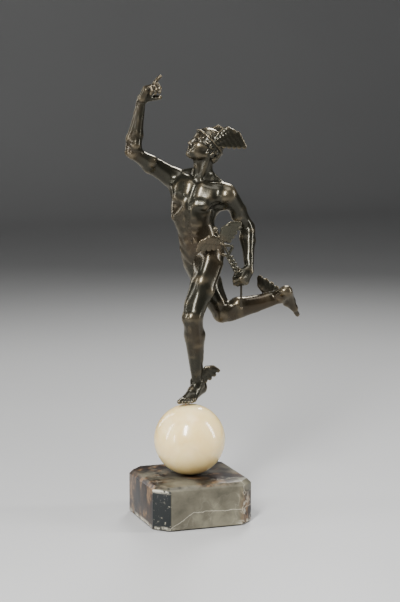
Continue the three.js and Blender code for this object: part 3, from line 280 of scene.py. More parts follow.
def field(shapes, lo, hi, step):
    lo = np.asarray(lo, float)
    n = np.ceil((np.asarray(hi, float) - lo) / step).astype(int) + 1
    f = np.full(n, FAR, np.float32)
    for s in shapes:
        slo, shi, blend, cut = shape_box(s)
        pad = blend + 2.5 * step
        i0 = np.maximum(np.floor((slo - pad - lo) / step).astype(int), 0)
        i1 = np.minimum(np.ceil((shi + pad - lo) / step).astype(int) + 1, n)
        if (i1 <= i0).any():
            continue
        x = (lo[0] + step * np.arange(i0[0], i1[0], dtype=np.float32))[:, None, None]
        y = (lo[1] + step * np.arange(i0[1], i1[1], dtype=np.float32))[None, :, None]
        z = (lo[2] + step * np.arange(i0[2], i1[2], dtype=np.float32))[None, None, :]
        d = shape_distance(s, x, y, z).astype(np.float32)
        view = f[i0[0]:i1[0], i0[1]:i1[1], i0[2]:i1[2]]
        if cut:
            view[...] = soft_max(view, -d, max(blend, 1e-3))
        else:
            view[...] = soft_min(view, d, max(blend, 1e-3))
    return f, lo


# quads of the zero surface of a grid of distances, one vertex in each crossed cell
def surface_nets(f, lo, step):
    inside = f < 0
    nx, ny, nz = f.shape
    corners = [(i, j, k) for i in (0, 1) for j in (0, 1) for k in (0, 1)]
    count = np.zeros((nx - 1, ny - 1, nz - 1), np.int8)
    for i, j, k in corners:
        count += inside[i:nx - 1 + i, j:ny - 1 + j, k:nz - 1 + k]
    active = (count > 0) & (count < 8)
    cells = np.argwhere(active)
    index = np.full(active.shape, -1, np.int32)
    index[active] = np.arange(len(cells), dtype=np.int32)
    c = cells.T
    vals = {q: f[c[0] + q[0], c[1] + q[1], c[2] + q[2]] for q in corners}
    total = np.zeros((len(cells), 3))
    hits = np.zeros(len(cells))
    for q in corners:
        for ax in range(3):
            if q[ax]:
                continue
            r = list(q)
            r[ax] = 1
            va, vb = vals[q], vals[tuple(r)]
            cross = (va < 0) != (vb < 0)
            t = np.where(cross, va / np.where(cross, va - vb, 1.0), 0.0)
            p = np.array(q, float)[None, :] + np.zeros((len(cells), 3))
            p[:, ax] += t
            total += p * cross[:, None]
            hits += cross
    verts = (cells + total / hits[:, None]) * step + lo
    quads = []
    for ax in range(3):
        u, v = [(1, 2), (2, 0), (0, 1)][ax]
        a = inside[tuple(slice(0, -1) if d == ax else slice(1, -1) for d in range(3))]
        b = inside[tuple(slice(1, None) if d == ax else slice(1, -1) for d in range(3))]
        edge = np.argwhere(a != b)
        flip = a[tuple(edge.T)]
        base = edge.copy()
        base[:, u] += 1
        base[:, v] += 1

        def cell(du, dv):
            q = base.copy()
            q[:, u] -= du
            q[:, v] -= dv
            return index[tuple(q.T)]

        quad = np.stack([cell(1, 1), cell(0, 1), cell(0, 0), cell(1, 0)], 1)
        quad[~flip] = quad[~flip][:, ::-1]
        quads.append(quad)
    return verts, np.concatenate(quads)


def two(m, right, left):
    return left if m > 0 else right


# joints of the running figure, in thousandths of the stature from the point where it touches the ball
def skeleton():
    s = {"toe_L": np.array([-4.0, 0.0, 15.0])}

    # each bone: its far joint, its near joint, its length, its bearing and its rise
    def add(bones):
        for far, near, length, bearing, rise in bones:
            s[far] = go(s[near], length, bearing, rise)

    add((("ankle_L", "toe_L", 80, -130, 40), ("knee_L", "ankle_L", 250, 42, 79),
         ("hip_L", "knee_L", 246, -122, 63), ("hip_R", "hip_L", 98, 158, -4),
         ("knee_R", "hip_R", 246, -72, -64), ("ankle_R", "knee_R", 224, -78, 15)))
    s["pelvis"] = mix(s["hip_L"], s["hip_R"], 0.5)
    add((("chest", "pelvis", 182, 79, 78), ("neck", "chest", 105, -68, 75), ("head", "neck", 124, -28, 81)))
    s["collar"] = mix(s["chest"], s["neck"], 0.8)
    add((("shoulder_L", "collar", 112, -48, -15), ("shoulder_R", "collar", 112, 129, 13),
         ("elbow_R", "shoulder_R", 180, 83, 32), ("wrist_R", "elbow_R", 192, -37, 78),
         ("elbow_L", "shoulder_L", 180, -123, -46), ("wrist_L", "elbow_L", 172, 16, -61)))
    return s


# cage of the ribs, waist and basin, with the muscles over them
def torso(c, s, P, C, W):
    c.lump(C, [6, 2, 0], [106, 62, 77], 12)
    c.lump(C, [60, -2, 0], [46, 48, 84], 24)
    c.lump(W, [92, 6, 0], [96, 57, 66], 30)
    c.lump(P, [22, 0, 0], [60, 54, 73], 30)
    c.lump(P, [-20, -4, 0], [50, 42, 60], 24)
    for m in [-1, 1]:
        arm = two(m, s["shoulder_R"], s["shoulder_L"])
        hip = two(m, s["hip_R"], s["hip_L"])
        # chest muscle: a wide plate with a firm lower rim, running out to the arm
        c.plate(C.at([46, 43, 25 * m]), 26, C.at([54, 36, 56 * m]), 25, 12, C.front, 0.75)
        c.plate(C.at([15, 52, 22 * m]), 19, C.at([22, 44, 52 * m]), 20, 7, C.front, 0.8)
        c.plate(C.at([42, 36, 54 * m]), 23, C.off(arm, [-14, 14, -14 * m]), 18, 14, C.front, 0.8)
        c.cone(C.at([74, 30, 26 * m]), 24, C.off(arm, [0, 8, -16 * m]), 20, 16)
        # collar bone
        c.cone(C.at([94, 26, 9 * m]), 6.5, C.off(arm, [20, 10, -18 * m]), 7, 12)
        # from the neck to the shoulder, and down the back
        c.cone(C.at([128, -20, 14 * m]), 20, C.off(arm, [18, -8, -22 * m]), 14, 24)
        c.rods(C, 20, [100, -32, 16 * m, 24], [30, -46, 10 * m, 12])
        # shoulder blade and the muscle over it
        c.lump(C, [42, -44, 48 * m], [42, 18, 32], 14)
        c.cone(C.at([66, -40, 30 * m]), 12, C.off(arm, [0, -16, 0]), 16, 14)
        # broad back muscle
        c.rods(C, 18, [26, -20, 68 * m, 26], [-60, -22, 54 * m, 18])
        c.cone(C.at([22, -14, 70 * m]), 22, C.off(arm, [two(m, -24, -44), -8, two(m, 6, 0)]), 18, 18)
        # saw muscles on the ribs
        for i in range(3):
            c.rods(C, 15, [2 - 20 * i, 22 - 3 * i, (66 - 3 * i) * m, 9],
                   [-12 - 20 * i, 38 - 3 * i, (56 - 3 * i) * m, 5])
        # rim of the rib arch
        c.rods(C, 16, [-4, 52, 13 * m, 10], [-50, 37, 47 * m, 10])
        # long back muscles beside the spine
        c.cone(C.at([20, -46, 16 * m]), 15, W.at([60, -38, 17 * m]), 18, 14)
        c.cone(W.at([60, -38, 17 * m]), 18, P.at([20, -40, 14 * m]), 14, 14)
        # flank over the hip bone
        c.lump(W, [70, 6, 50 * m], [38, 36, 22], 16)
        c.rods(P, 14, [50, 22, 56 * m, 14], [54, -20, 52 * m, 15])
        # belly muscle in four blocks on each side
        for up, r in [[156, 14], [129, 15], [103, 15], [70, 19]]:
            ahead = mix(P.front, C.front, up / 182)
            aside = mix(P.outer, C.outer, up / 182)
            block = Frame(W.at([up, 0, 0]), W.at([up + 1, 0, 0]), ahead, aside)
            c.lump(block, [0, 48, 15.5 * m], [r, 16.5, 17], 7)
        c.rods(P, 12, [66, 34, 13 * m, 17], [22, 38, 9 * m, 13])
        # groin line: the lower rim of the flank runs down to the front
        c.rods(P, 12, [34, 36, 54 * m, 12], [-10, 42, 16 * m, 9])
        # seat
        c.egg(P.off(hip, [2, -30, -12 * m]), [44, 36, 38], P.axes(), 12)
        c.egg(P.off(hip, [26, -8, 2 * m]), [36, 34, 22], P.axes(), 18)
    # furrows: breast bone, middle of the belly, navel, spine
    c.groove(C.at([88, 60, 0]), 3, C.at([52, 68, 0]), 5, 12)
    c.groove(C.at([52, 68, 0]), 5, C.at([6, 76, 0]), 7, 12)
    c.groove(C.at([2, 72, 0]), 6, W.at([128, 73, 0]), 5.5, 10)
    c.groove(W.at([128, 73, 0]), 5.5, W.at([74, 71, 0]), 4.5, 10)
    c.pit(W, [70, 66, 0], [6, 9, 5], 5)
    c.groove(C.at([60, -68, 0]), 9, W.at([120, -58, 0]), 8, 12)
    c.groove(W.at([120, -58, 0]), 8, P.at([14, -60, 0]), 8, 12)
    c.groove(P.at([-4, -66, 0]), 8, P.at([-50, -44, 0]), 8, 8)
    c.pit(C, [100, 44, 0], [5, 5, 6], 14)
    # loins
    c.lump(P, [-22, 42, 0], [16, 12, 12], 9)
    c.lump(P, [-38, 43, 0], [10, 9, 8], 5)


def neck(c, C, H):
    c.cone(C.at([96, -8, 0]), 33, H.at([-30, -15, 0]), 28, 16)
    c.cone(C.at([92, -20, 0]), 25, H.at([-10, -24, 0]), 21, 16)
    for m in [-1, 1]:
        c.cone(C.at([97, 27, 8 * m]), 6, H.at([-20, -16, 33 * m]), 10, 9)
    c.cone(C.at([104, 17, 0]), 11, H.at([-54, 2, 0]), 15, 12)
    c.egg(mix(C.at([104, 22, 0]), H.at([-54, 6, 0]), 0.62), [9, 9, 8], H.axes(), 10)


def thigh(c, F):
    c.rods(F, 28, [0, 0, 2, 42], [0.92, 0, 0, 30])
    c.rods(F, 18, [0.10, 20, 6, 28], [0.45, 23, 4, 28], [0.86, 15, 2, 16])
    c.rods(F, 16, [0.12, 2, 28, 26], [0.55, 6, 25, 25], [0.88, 8, 19, 14])
    c.rods(F, 16, [0.45, 12, -15, 22], [0.78, 14, -20, 19])
    c.lump(F, [0.84, 14, -21], [28, 16, 15], 13)
    c.rods(F, 18, [-0.02, -2, -22, 34], [0.5, -6, -17, 25])
    c.rods(F, 16, [0.12, -26, 14, 26], [0.5, -28, 12, 25], [0.94, -17, 18, 12])
    c.rods(F, 16, [0.12, -26, -12, 26], [0.5, -28, -12, 24], [0.95, -17, -18, 12])


# K is a frame at the knee between the thigh's front and the shin's
def shin(c, F, K):
    c.rods(F, 15, [0.02, 0, 0, 31], [0.25, 0, 0, 28], [0.97, 0, 0, 18])
    for m in [-1, 1]:
        c.lump(K, [-4, 5, 17 * m], [25, 21, 17], 16)
    c.lump(K, [-6, 24, 0], [17, 10, 15], 11)
    c.cone(K.at([-2, 23, 0]), 8, F.at([0.15, 22, 0]), 9, 11)
    c.rods(F, 11, [0.10, 22, -2, 10], [0.55, 18, -2, 8], [0.95, 8, -2, 9])
    # calf
    c.rods(F, 15, [0.02, -13, -14, 18], [0.28, -22, -15, 22], [0.54, -17, -9, 13])
    c.rods(F, 15, [0.02, -13, 14, 17], [0.28, -21, 15, 21], [0.52, -17, 11, 13])
    c.rods(F, 17, [0.32, -7, 2, 29], [0.76, -9, 2, 19])
    c.rods(F, 13, [0.60, -14, 0, 13], [1.0, -21, 0, 9])
    c.rods(F, 13, [0.08, 10, 14, 14], [0.38, 10, 13, 15], [0.82, 6, 5, 11])
    c.rods(F, 13, [0.10, -2, 21, 12], [0.62, -4, 16, 11])
    # ankle bones
    c.rods(F, 6, [0.96, 2, -15, 10], [1.01, 2, -16, 9])
    c.rods(F, 6, [0.98, -4, 15, 9], [1.035, -4, 16, 8])


# A runs from heel to toes with its front up through the instep, T lies along the toes
def foot(c, A, T):
    c.rods(A, 12, [0, 2, 0, 17], [-22, -20, 0, 18])
    c.lump(A, [-28, -26, 0], [19, 18, 16], 14)
    c.rods(A, 14, [-22, 8, 0, 9], [-34, -16, 0, 10])
    c.rods(A, 10, [-2, -2, 0, 17], [36, -14, -4, 13], [72, -30, -9, 11])
    c.rods(A, 12, [10, -14, 8, 13], [60, -33, 12, 10])
    c.rods(A, 12, [-24, -32, 4, 14], [62, -36, 14, 9])
    c.rods(A, 16, [-24, -32, -4, 14], [66, -34, -10, 9])
    # toes: place across, start, length and radius
    for o, base, length, r in [
            [-15, 2, 38, 9.6], [-3.5, 3, 33, 6.6], [5, 0, 30, 6.3], [13, -5, 27, 6], [20, -11, 23, 6]]:
        lift = 1 + 3 * (1 - r / 9.6) / 0.4
        knuckle = T.at([base, -1, o])
        middle = T.at([base + length * 0.5, lift - 1, o * 1.02])
        tip = T.at([base + length - r * 0.6, -2 - lift * 0.5, o * 1.04])
        c.cone(A.at([48, -25 - abs(o + 5) * 0.35, o * 0.75]), 8, knuckle, r + 1.6, 8)
        c.cone(knuckle, r + 1, middle, r * 0.9, 2.5)
        c.cone(middle, r * 0.9, tip, r * 0.95, 2.5)


def upper_arm(c, F):
    c.rods(F, 16, [0.02, 0, 0, 26], [0.95, 0, 0, 19])
    # shoulder cap in three heads
    c.rods(F, 18, [0.02, 2, 6, 30], [0.44, 2, 13, 13])
    c.rods(F, 16, [0.0, 14, -4, 23], [0.42, 9, 11, 11])
    c.rods(F, 16, [0.0, -14, -4, 23], [0.42, -7, 12, 11])
    c.rods(F, 15, [0.20, 12, -3, 16], [0.58, 14, -2, 18.5])
    c.rods(F, 13, [0.58, 16, -2, 20], [0.95, 12, 0, 10])
    c.rods(F, 15, [0.12, -10, -9, 18], [0.50, -13, -8, 19])
    c.rods(F, 13, [0.50, -15, -8, 20], [0.86, -12, -2, 12])
    c.rods(F, 13, [0.22, -11, 9, 15], [0.55, -12, 9, 15], [0.90, -12, 3, 10])
    c.rods(F, 13, [0.52, 2, 10, 12], [0.95, 4, 10, 10])
    c.rods(F, 13, [0.60, 2, -10, 12], [0.97, 0, -13, 10])


# G is the upper arm that it hangs from
def forearm(c, F, G):
    c.egg(F.start, [18, 17, 18], F.axes(), 20)
    c.rods(F, 14, [0.0, 0, 0, 18.5], [0.35, 0, 0, 17.5])
    c.rods(F, 13, [0.35, 0, 0, 17], [1.02, 0, 0, 12])
    c.cone(G.at([1.01, -15, 0]), 9, F.at([0.15, -14, -6]), 8, 12)
    c.cone(G.at([0.86, 2, 13]), 10, F.at([0.15, 6, 15]), 14, 14)
    c.rods(F, 14, [0.15, 6, 15, 14], [0.62, 5, 10, 8.5])
    c.rods(F, 14, [-0.02, 6, -14, 12], [0.25, 9, -10, 16], [0.75, 6, -5, 8])
    c.rods(F, 14, [0.02, -8, 10, 13], [0.32, -10, 6, 14], [0.78, -6, 3, 8])
    c.rods(F, 12, [0.10, -12, -7, 9], [0.96, -4, -9, 7.5])
    c.rods(F, 12, [0.70, 0, 5, 10], [1.04, 0, 6, 9.5])
    c.rods(F, 12, [0.70, 0, -5, 10], [1.04, 0, -6, 9.5])


# three finger bones from a knuckle, each turned further towards the palm
def finger(c, F, knuckle, turns, spread, bones, r):
    p = F.at(knuckle)
    turn = 0
    width = r
    ahead = F.dir([cos(radians(spread)), 0, sin(radians(spread))])
    for k in range(3):
        turn = turn + radians(turns[k])
        q = along(along(p, ahead, bones[k] * cos(turn)), F.front, bones[k] * sin(turn))
        c.cone(p, width, q, width * 0.91, 2)
        p = q
        width = width * 0.91


# F runs from the wrist to the middle knuckle, its front out of the palm, its outer side to the thumb
def hand(c, F, turns, spreads, thumb):
    # knuckle's reach and place across, lengths of the three bones, radius
    rays = [[51, 15.5, [25, 17, 13], 8], [53, 4.5, [28, 19, 15], 8.8], [50, -6.5, [26, 18, 14], 8.6],
            [45, -16.5, [22, 15, 12], 7.8]]
    for (reach, aside, bones, r), turn, spread in zip(rays, turns, spreads):
        c.rods(F, 8, [4, 2, aside * 0.4, 11], [reach - 2, -1, aside, 9.5])
        finger(c, F, [reach, 0, aside], turn, spread, bones, r)
    c.rods(F, 8, [6, 6, 9, 13], [32, 8, 15, 10])
    c.rods(F, 8, [6, 6, -10, 12], [38, 7, -14, 9.5])
    p = F.at([10, 5, 12])
    for t, f, o, wide, thin in thumb:
        q = F.off(p, [t, f, o])
        c.cone(p, wide, q, thin, 3)
        p = q


# H goes up through the crown, its front is the way the face looks
def head(c, H):
    c.lump(H, [16, -10, 0], [52, 57, 45], 6)
    c.lump(H, [-16, 12, 0], [44, 34, 34], 16)
    c.rods(H, 8, [-50, 30, 0, 14], [-52, 31, 0, 13])
    for m in [-1, 1]:
        c.rods(H, 14, [-50, 28, 6 * m, 12], [-32, -6, 32 * m, 10])
        c.rods(H, 12, [-12, 30, 25 * m, 11], [-8, 6, 38 * m, 8])
        c.rods(H, 12, [-36, 32, 12 * m, 12], [-18, 34, 16 * m, 10])
        c.lump(H, [-26, 14, 20 * m], [22, 22, 15], 18)
    c.lump(H, [16, 26, 0], [26, 21, 33], 12)
    # brows and eyes
    for m in [-1, 1]:
        c.rods(H, 6, [8, 43, 6 * m, 4.5], [8, 33, 29 * m, 5])
        c.pit(H, [-2, 47, 17 * m], [7.5, 9, 11], 5)
        c.lump(H, [-2, 32, 17 * m], [8.5, 8.5, 9.5], 2)
        c.rods(H, 1.5, [3.5, 41, 9 * m, 1.8], [4.5, 40.5, 17 * m, 2.1], [1, 35, 27 * m, 1.8])
        c.rods(H, 1.5, [-7.5, 39.5, 10 * m, 1.4], [-8, 38.5, 18 * m, 1.7], [-3, 35, 26 * m, 1.4])
    # nose
    c.rods(H, 5, [8, 44, 0, 4.5], [-20, 56, 0, 5.5])
    c.rods(H, 5, [2, 40, 0, 7], [-22, 46, 0, 9])
    for m in [-1, 1]:
        c.lump(H, [-22.5, 49, 6.5 * m], [4.6, 6, 3.8], 3)
        c.pit(H, [-26.5, 52, 3.5 * m], [1.6, 3.5, 1.8], 1.5)
    # mouth and chin
    c.lump(H, [-40, 38, 0], [15, 12, 19], 8)
    for m in [-1, 1]:
        c.rods(H, 2.5, [-33.5, 49, 2 * m, 3.6], [-35.5, 44.5, 11 * m, 2])
    c.rods(H, 2.5, [-41.5, 47.5, -4, 4.2], [-41.5, 47.5, 4, 4.2])
    c.pit(H, [-37.6, 53, 0], [0.9, 6, 11.5], 1.2)
    c.pit(H, [-47, 50, 0], [3, 5, 10], 4)
    c.lump(H, [-56.5, 39, 0], [9, 9, 11], 6)


# ear: F looks out of the head, its front runs up
def ear(c, F):
    c.lump(F, [1, 0, 0], [4.5, 12.5, 7.5], 3)
    for k in range(7):
        a = 1 - 0.58 * k
        b = a - 0.58
        c.rods(F, 1.5, [4.5, 12 * cos(a), 7.5 * sin(a), 2.6], [4.5, 12 * cos(b), 7.5 * sin(b), 2.6])
    c.lump(F, [3.5, -11, 1.5], [3.5, 4.5, 4], 2)
    c.lump(F, [4, -2, 6], [3, 4, 2.4], 1.5)
    c.pit(F, [7, 0, 0.5], [4.5, 6, 3.2], 2)


# spiral locks in rows under the brim, from the temples to the nape, and an ear among them
def curls(c, H):
    for m in [-1, 1]:
        for first, count, drop, r in [[44, 6, 12, 12], [116, 3, 32, 12]]:
            for j in range(count):
                a = radians(first + (172 - first) * j / (count - 1))
                f = 61 * cos(a) - 9
                across = (50 - drop * 0.26) * sin(a) * m
                p = H.at([20 + (f + 6) * 0.34 - drop, f * (1 - drop * 0.004), across])
                out = p - H.at([10 - drop * 0.6, -9, 0])
                F = Frame(p, p + out, H.along, H.front, 1)
                c.lump(F, [-4, 0, 0], [6, r, r], 3)
                volute(c, F, r, 3.6, 1 - 2 * (j % 2))
        ear(c, Frame(H.at([-13, -7, 39 * m]), H.at([-13, -11, 49 * m]), H.along, H.front, 1))


# round hat with a narrow brim, set back on the head
def hat(c, T):
    c.lump(T, [4, -4, 0], [48, 58, 50], 2)
    c.lump(T, [3, -3, 0], [4.5, 63, 56], 2)
    turns = [k * 2 * pi / 28 for k in range(29)]
    c.rods(T, 1, *[[5 - 2 * cos(a), -3 + 62 * cos(a), 55 * sin(a), 3.6] for a in turns])


# B runs from the wing's root to its tip, its front towards the arched leading edge,
# its outer side off the plate
def wing(c, B, length, arch, depth, rows):
    width = arch + depth
    heel = B.at([length * 0.10, 0, 0])
    middle = B.at([length * 0.42, arch * 0.45, 0])
    c.plate(heel, width * 0.18, middle, width * 0.22, 4, B.outer, 0.2)
    # the arm, an arch from the root over to the first feather
    arm = []
    for u in np.arange(9) / 8:
        rise = arch * 0.95 * sin(2.70 * u ** 0.75) - depth * 0.1 * (1 - u)
        arm.append([length * 0.8 * u, rise, 0, width * (0.10 - 0.055 * u)])
    c.rods(B, 2, *arm)
    # long feathers, from the tip back to the root, under a shorter layer
    for layer in [0, 1]:
        for j in range(rows):
            k = j / (rows - 1)
            x = length * (0.36 - 0.30 * k)
            y = arch * (0.86 - 0.80 * k) - depth * 0.15 * k
            tip_x = length * (1 - 0.82 * k)
            tip_y = -depth * k * (1.5 - 0.5 * k)
            share = 1 - 0.42 * layer
            lift = width * (0.06 * layer + 0.02 * (1 - k))
            middle = B.at([x + (tip_x - x) * 0.55 * share, y + (tip_y - y) * 0.26 * share, lift])
            tip = B.at([x + (tip_x - x) * share, y + (tip_y - y) * share * share, lift * 0.6])
            r = length * 0.56 / (rows - 1) * (1 - 0.2 * layer)
            c.plate(B.at([x, y, lift]), r * 0.9, middle, r * 1.1, 1.2, B.outer, 0.34)
            c.plate(middle, r * 1.1, tip, r * 0.75, 1.2, B.outer, 0.34)
    # short feathers over the arm
    for j in range(rows):
        k = (j + 0.4) / rows
        x = length * 0.46 * k
        y = arch * (0.84 * k) + depth * 0.05
        c.rods(B, 1, [x, y - width * 0.06, width * 0.09, width * 0.05],
               [x + width * 0.16, y - width * 0.17, width * 0.08, width * 0.04])


# flat spiral cord, F.along is the way it faces
def volute(c, F, r, cord, sense):
    for k in range(9):
        a = sense * k * 2 * pi * 1.25 / 9
        b = sense * (k + 1) * 2 * pi * 1.25 / 9
        p = F.at([0, r * (1 - k * 0.094) * cos(a), r * (1 - k * 0.094) * sin(a)])
        q = F.at([0, r * (0.906 - k * 0.094) * cos(b), r * (0.906 - k * 0.094) * sin(b)])
        c.cone(p, cord * (1 - k * 0.033), q, cord * (0.967 - k * 0.033), 1)


def figure(c):
    s = skeleton()
    left = s["hip_L"] - s["hip_R"]
    P = Frame(s["pelvis"], s["chest"], heading(60, 0), left, 1)
    C = Frame(s["chest"], s["neck"], heading(38, 0), left, 1)
    W = Frame(s["pelvis"], s["chest"], heading(47, 0), left, 1)
    H = Frame(s["head"], go(s["head"], 1, -90, 60), heading(90, 30), left, 1)
    torso(c, s, P, C, W)
    neck(c, C, H)
    head(c, H)
    curls(c, H)
    T = Frame(H.at([15, -6, 0]), H.at([15 + cos(radians(19)), -6 - sin(radians(19)), 0]), H.front, H.outer, 1)
    hat(c, T)
    for m in [-1, 1]:
        root = T.at([12, 4, 48 * m])
        B = Frame(root, along(root, T.dir([0.59, -0.80, 0.20 * m]), 1), T.along, T.outer * m, 1)
        wing(c, B, 111, 56, 14, 6)
        F = Frame(T.at([19, 22, 50 * m]), T.at([19, 22, 51 * m]), T.along, T.front, 1)
        volute(c, F, 11, 3.4, 1)
    # standing left leg, kicked right leg: each frame's front is the way the knee cap or the instep looks
    for m, hip, knee, ankle, thigh_front, shin_front, sole, instep, toes in [
            [1, "hip_L", "knee_L", "ankle_L", [40, 0], [34, 0], [50, -13], [50, 77], [50, -2]],
            [-1, "hip_R", "knee_R", "ankle_R", [60, 20], [90, -70], [-140, -42], [109, -15], [-132, -50]]]:
        side = left * m
        U = Frame(s[hip], s[knee], heading(*thigh_front), side)
        S = Frame(s[knee], s[ankle], heading(*shin_front), side)
        K = Frame(s[knee], s[ankle] - (s[hip] - s[knee]), U.front + S.front, side, 1)
        A = Frame(s[ankle], go(s[ankle], 1, *sole), heading(*instep), side, 1)
        tread = A.at([74, -33, 0])
        T = Frame(tread, go(tread, 1, *toes), heading(*instep), side, 1)
        thigh(c, U)
        shin(c, S, K)
        foot(c, A, T)
        root = S.at(two(m, [0.915, -14, 12], [0.86, -8, 15]))
        reach = two(m, heading(108, 50), heading(-74, 10))
        B = Frame(root, along(root, reach, 1), two(m, heading(110, -48), heading(110, 72)), heading(20, 9), 1)
        wing(c, B, two(m, 84, 64), 18, two(m, 20, 28), 4)
    # raised right arm with an open hand, lowered left arm with a fist
    for shoulder, elbow, wrist, arm_front, arm_side, fore_front, fore_side in [
            ["shoulder_R", "elbow_R", "wrist_R", [40, 40], [134, 13], [60, 0], [-60, 0]],
            ["shoulder_L", "elbow_L", "wrist_L", [50, 0], [-46, -13], [60, 10], [-40, 0]]]:
        U = Frame(s[shoulder], s[elbow], heading(*arm_front), heading(*arm_side))
        S = Frame(s[elbow], s[wrist], heading(*fore_front), heading(*fore_side))
        upper_arm(c, U)
        forearm(c, S, U)
    F = Frame(s["wrist_R"], go(s["wrist_R"], 1, -62, 57), heading(-34, -26), heading(-150, 0), 1)
    hand(c, F, [[-4, 8, 8], [36, 64, 46], [42, 70, 50], [48, 74, 52]], [4, 1, -2, -5],
         [[14, 13, 11, 13, 10.5], [11, 15, 3, 10.5, 9], [8, 12, -2, 9, 7.8]])
    G = grip(s)
    hand(c, G, [[58, 84, 60], [60, 86, 62], [62, 88, 62], [66, 90, 62]], [0, 0, 0, 0],
         [[14, 10, 12, 11, 8.8], [12, 13, -3, 8.8, 7.6], [7, 8, -9, 7.6, 6.6]])
    c.rods(G, 4, [40, 13, -18, 9], [40, 13, 16, 9])
    return s


def grip(s):
    return Frame(s["wrist_L"], go(s["wrist_L"], 1, 64, -48), heading(150, -5), heading(69, 57), 1)


# frame of the staff: up through its knob, front to the viewer, the wings spread to its sides
def staff_frame(s):
    hold = grip(s).at([41, 14, 0])
    return Frame(hold, go(hold, 1, 69, 57), heading(20, 0), heading(-70, 0), 1)


def caduceus(c, s):
    R = staff_frame(s)
    c.rods(R, 1, [50, 0, 0, 4.4], [225, 0, 0, 4.6])
    c.lump(R, [229, 0, 0], [9, 8.5, 8.5], 2)
    c.lump(R, [217, 0, 0], [2.4, 7, 7], 1)
    c.lump(R, [196, 0, 0], [5, 8, 8], 2)
    c.lump(R, [168, 0, 0], [4, 8, 8], 2)
    for m in [-1, 1]:
        root = R.at([180, 0, 3 * m])
        B = Frame(root, along(root, R.dir([two(m, 0.03, 0.30), 0, m]), 1), R.along, R.front, 1)
        wing(c, B, 86, 30, 24, 5)
        # a snake in two turns about the staff, opening into a loop under the wings
        steps = 44
        for k in range(steps):
            a = snake(R, m, k / steps)
            b = snake(R, m, (k + 1) / steps)
            c.cone(a, 4.2 + 0.9 * k / steps, b, 4.2 + 0.9 * (k + 1) / steps, 1)
        c.egg(snake(R, m, 1.06), [6.2, 4.6, 5], R.axes(), 2)


def snake(R, m, q):
    w = max(0, (q - 0.55) / 0.45)
    turn = pi * (0.5 + 4 * min(q, 0.55) / 0.55 + w)
    swing = 8.5 + 16 * abs(sin(pi * w))
    return R.at([38 + 124 * q, 8.2 * sin(turn + pi * (m - 1) / 2), swing * m * cos(turn)])


# cubes of the grid through which the skin passes in one plain sheet
def plain_cubes():
    corner = [[k & 1, (k >> 1) & 1, (k >> 2) & 1] for k in range(8)]
    near = [[j for j in range(8) if sum(abs(a - b) for a, b in zip(corner[i], corner[j])) == 1]
            for i in range(8)]

    def one_group(group):
        if not group:
            return True
        seen = {group[0]}
        todo = [group[0]]
        while todo:
            for j in near[todo.pop()]:
                if j in group and j not in seen:
                    seen.add(j)
                    todo.append(j)
        return len(seen) == len(group)

    plain = np.zeros(256, bool)
    for code in range(256):
        filled = [k for k in range(8) if code >> k & 1]
        empty = [k for k in range(8) if not code >> k & 1]
        good = one_group(filled) and one_group(empty)
        for axis in range(3):
            u, v = [(1, 2), (0, 2), (0, 1)][axis]
            for side in (0, 1):
                base = side << axis
                around = (base, base | 1 << u, base | 1 << u | 1 << v, base | 1 << v)
                a, b, c, d = (code >> k & 1 for k in around)
                if a == c and b == d and a != b:
                    good = False
        plain[code] = good
    return plain


# fills the cubes where the skin would touch itself at a point or an edge
def fill_pinches(f):
    plain = plain_cubes()
    for _ in range(12):
        inside = f < 0
        n = np.array(f.shape) - 1
        code = np.zeros(n, np.uint8)
        for k in range(8):
            i, j, m = k & 1, k >> 1 & 1, k >> 2 & 1
            code |= inside[i:n[0] + i, j:n[1] + j, m:n[2] + m].astype(np.uint8) << k
        bad = np.argwhere(~plain[code])
        if not len(bad):
            return
        for k in range(8):
            i, j, m = bad[:, 0] + (k & 1), bad[:, 1] + (k >> 1 & 1), bad[:, 2] + (k >> 2 & 1)
            f[i, j, m] = np.minimum(f[i, j, m], -1e-3)


# mean of the values at each point's neighbours, a and b being the ends of the edges
def neighbour_mean(values, a, b, count):
    n = len(values)
    total = [np.bincount(a, column[b], n) + np.bincount(b, column[a], n) for column in values.T]
    return np.stack(total, 1) / count[:, None]


# moves each point towards the mean of its neighbours
def smooth(verts, quads, rounds, share):
    n = len(verts)
    a = quads.ravel()
    b = np.roll(quads, -1, axis=1).ravel()
    count = np.bincount(a, minlength=n) + np.bincount(b, minlength=n)
    for _ in range(rounds):
        verts = verts + share * (neighbour_mean(verts, a, b, count) - verts)
    return verts


# evens out the broad forms, but not within the given spheres of fine modelling
def even_out(verts, quads, rounds, spheres):
    share = np.full((len(verts), 1), 0.5)
    for centre, reach in spheres:
        away = np.linalg.norm(verts - np.asarray(centre), axis=1, keepdims=True)
        share = np.minimum(share, np.clip((away - reach) / 40, 0, 0.5))
    return smooth(verts, quads, rounds, share)


# the skin of a clay model: points in thousandths of the stature, and quads
def skin(clay, step, rounds):
    lo = np.full(3, 1e9)
    hi = -lo
    for shape in clay.shapes:
        a, b, _, cut = shape_box(shape)
        if not cut:
            lo = np.minimum(lo, a)
            hi = np.maximum(hi, b)
    f, start = field(clay.shapes, lo - 4 * step, hi + 4 * step, step)
    fill_pinches(f)
    verts, quads = surface_nets(f, start, step)
    return smooth(verts, quads, rounds, 0.4), quads


# helpers for pieces
def only(ob):
    bpy.ops.object.select_all(action="DESELECT")
    ob.select_set(True)
    bpy.context.view_layer.objects.active = ob
    return ob


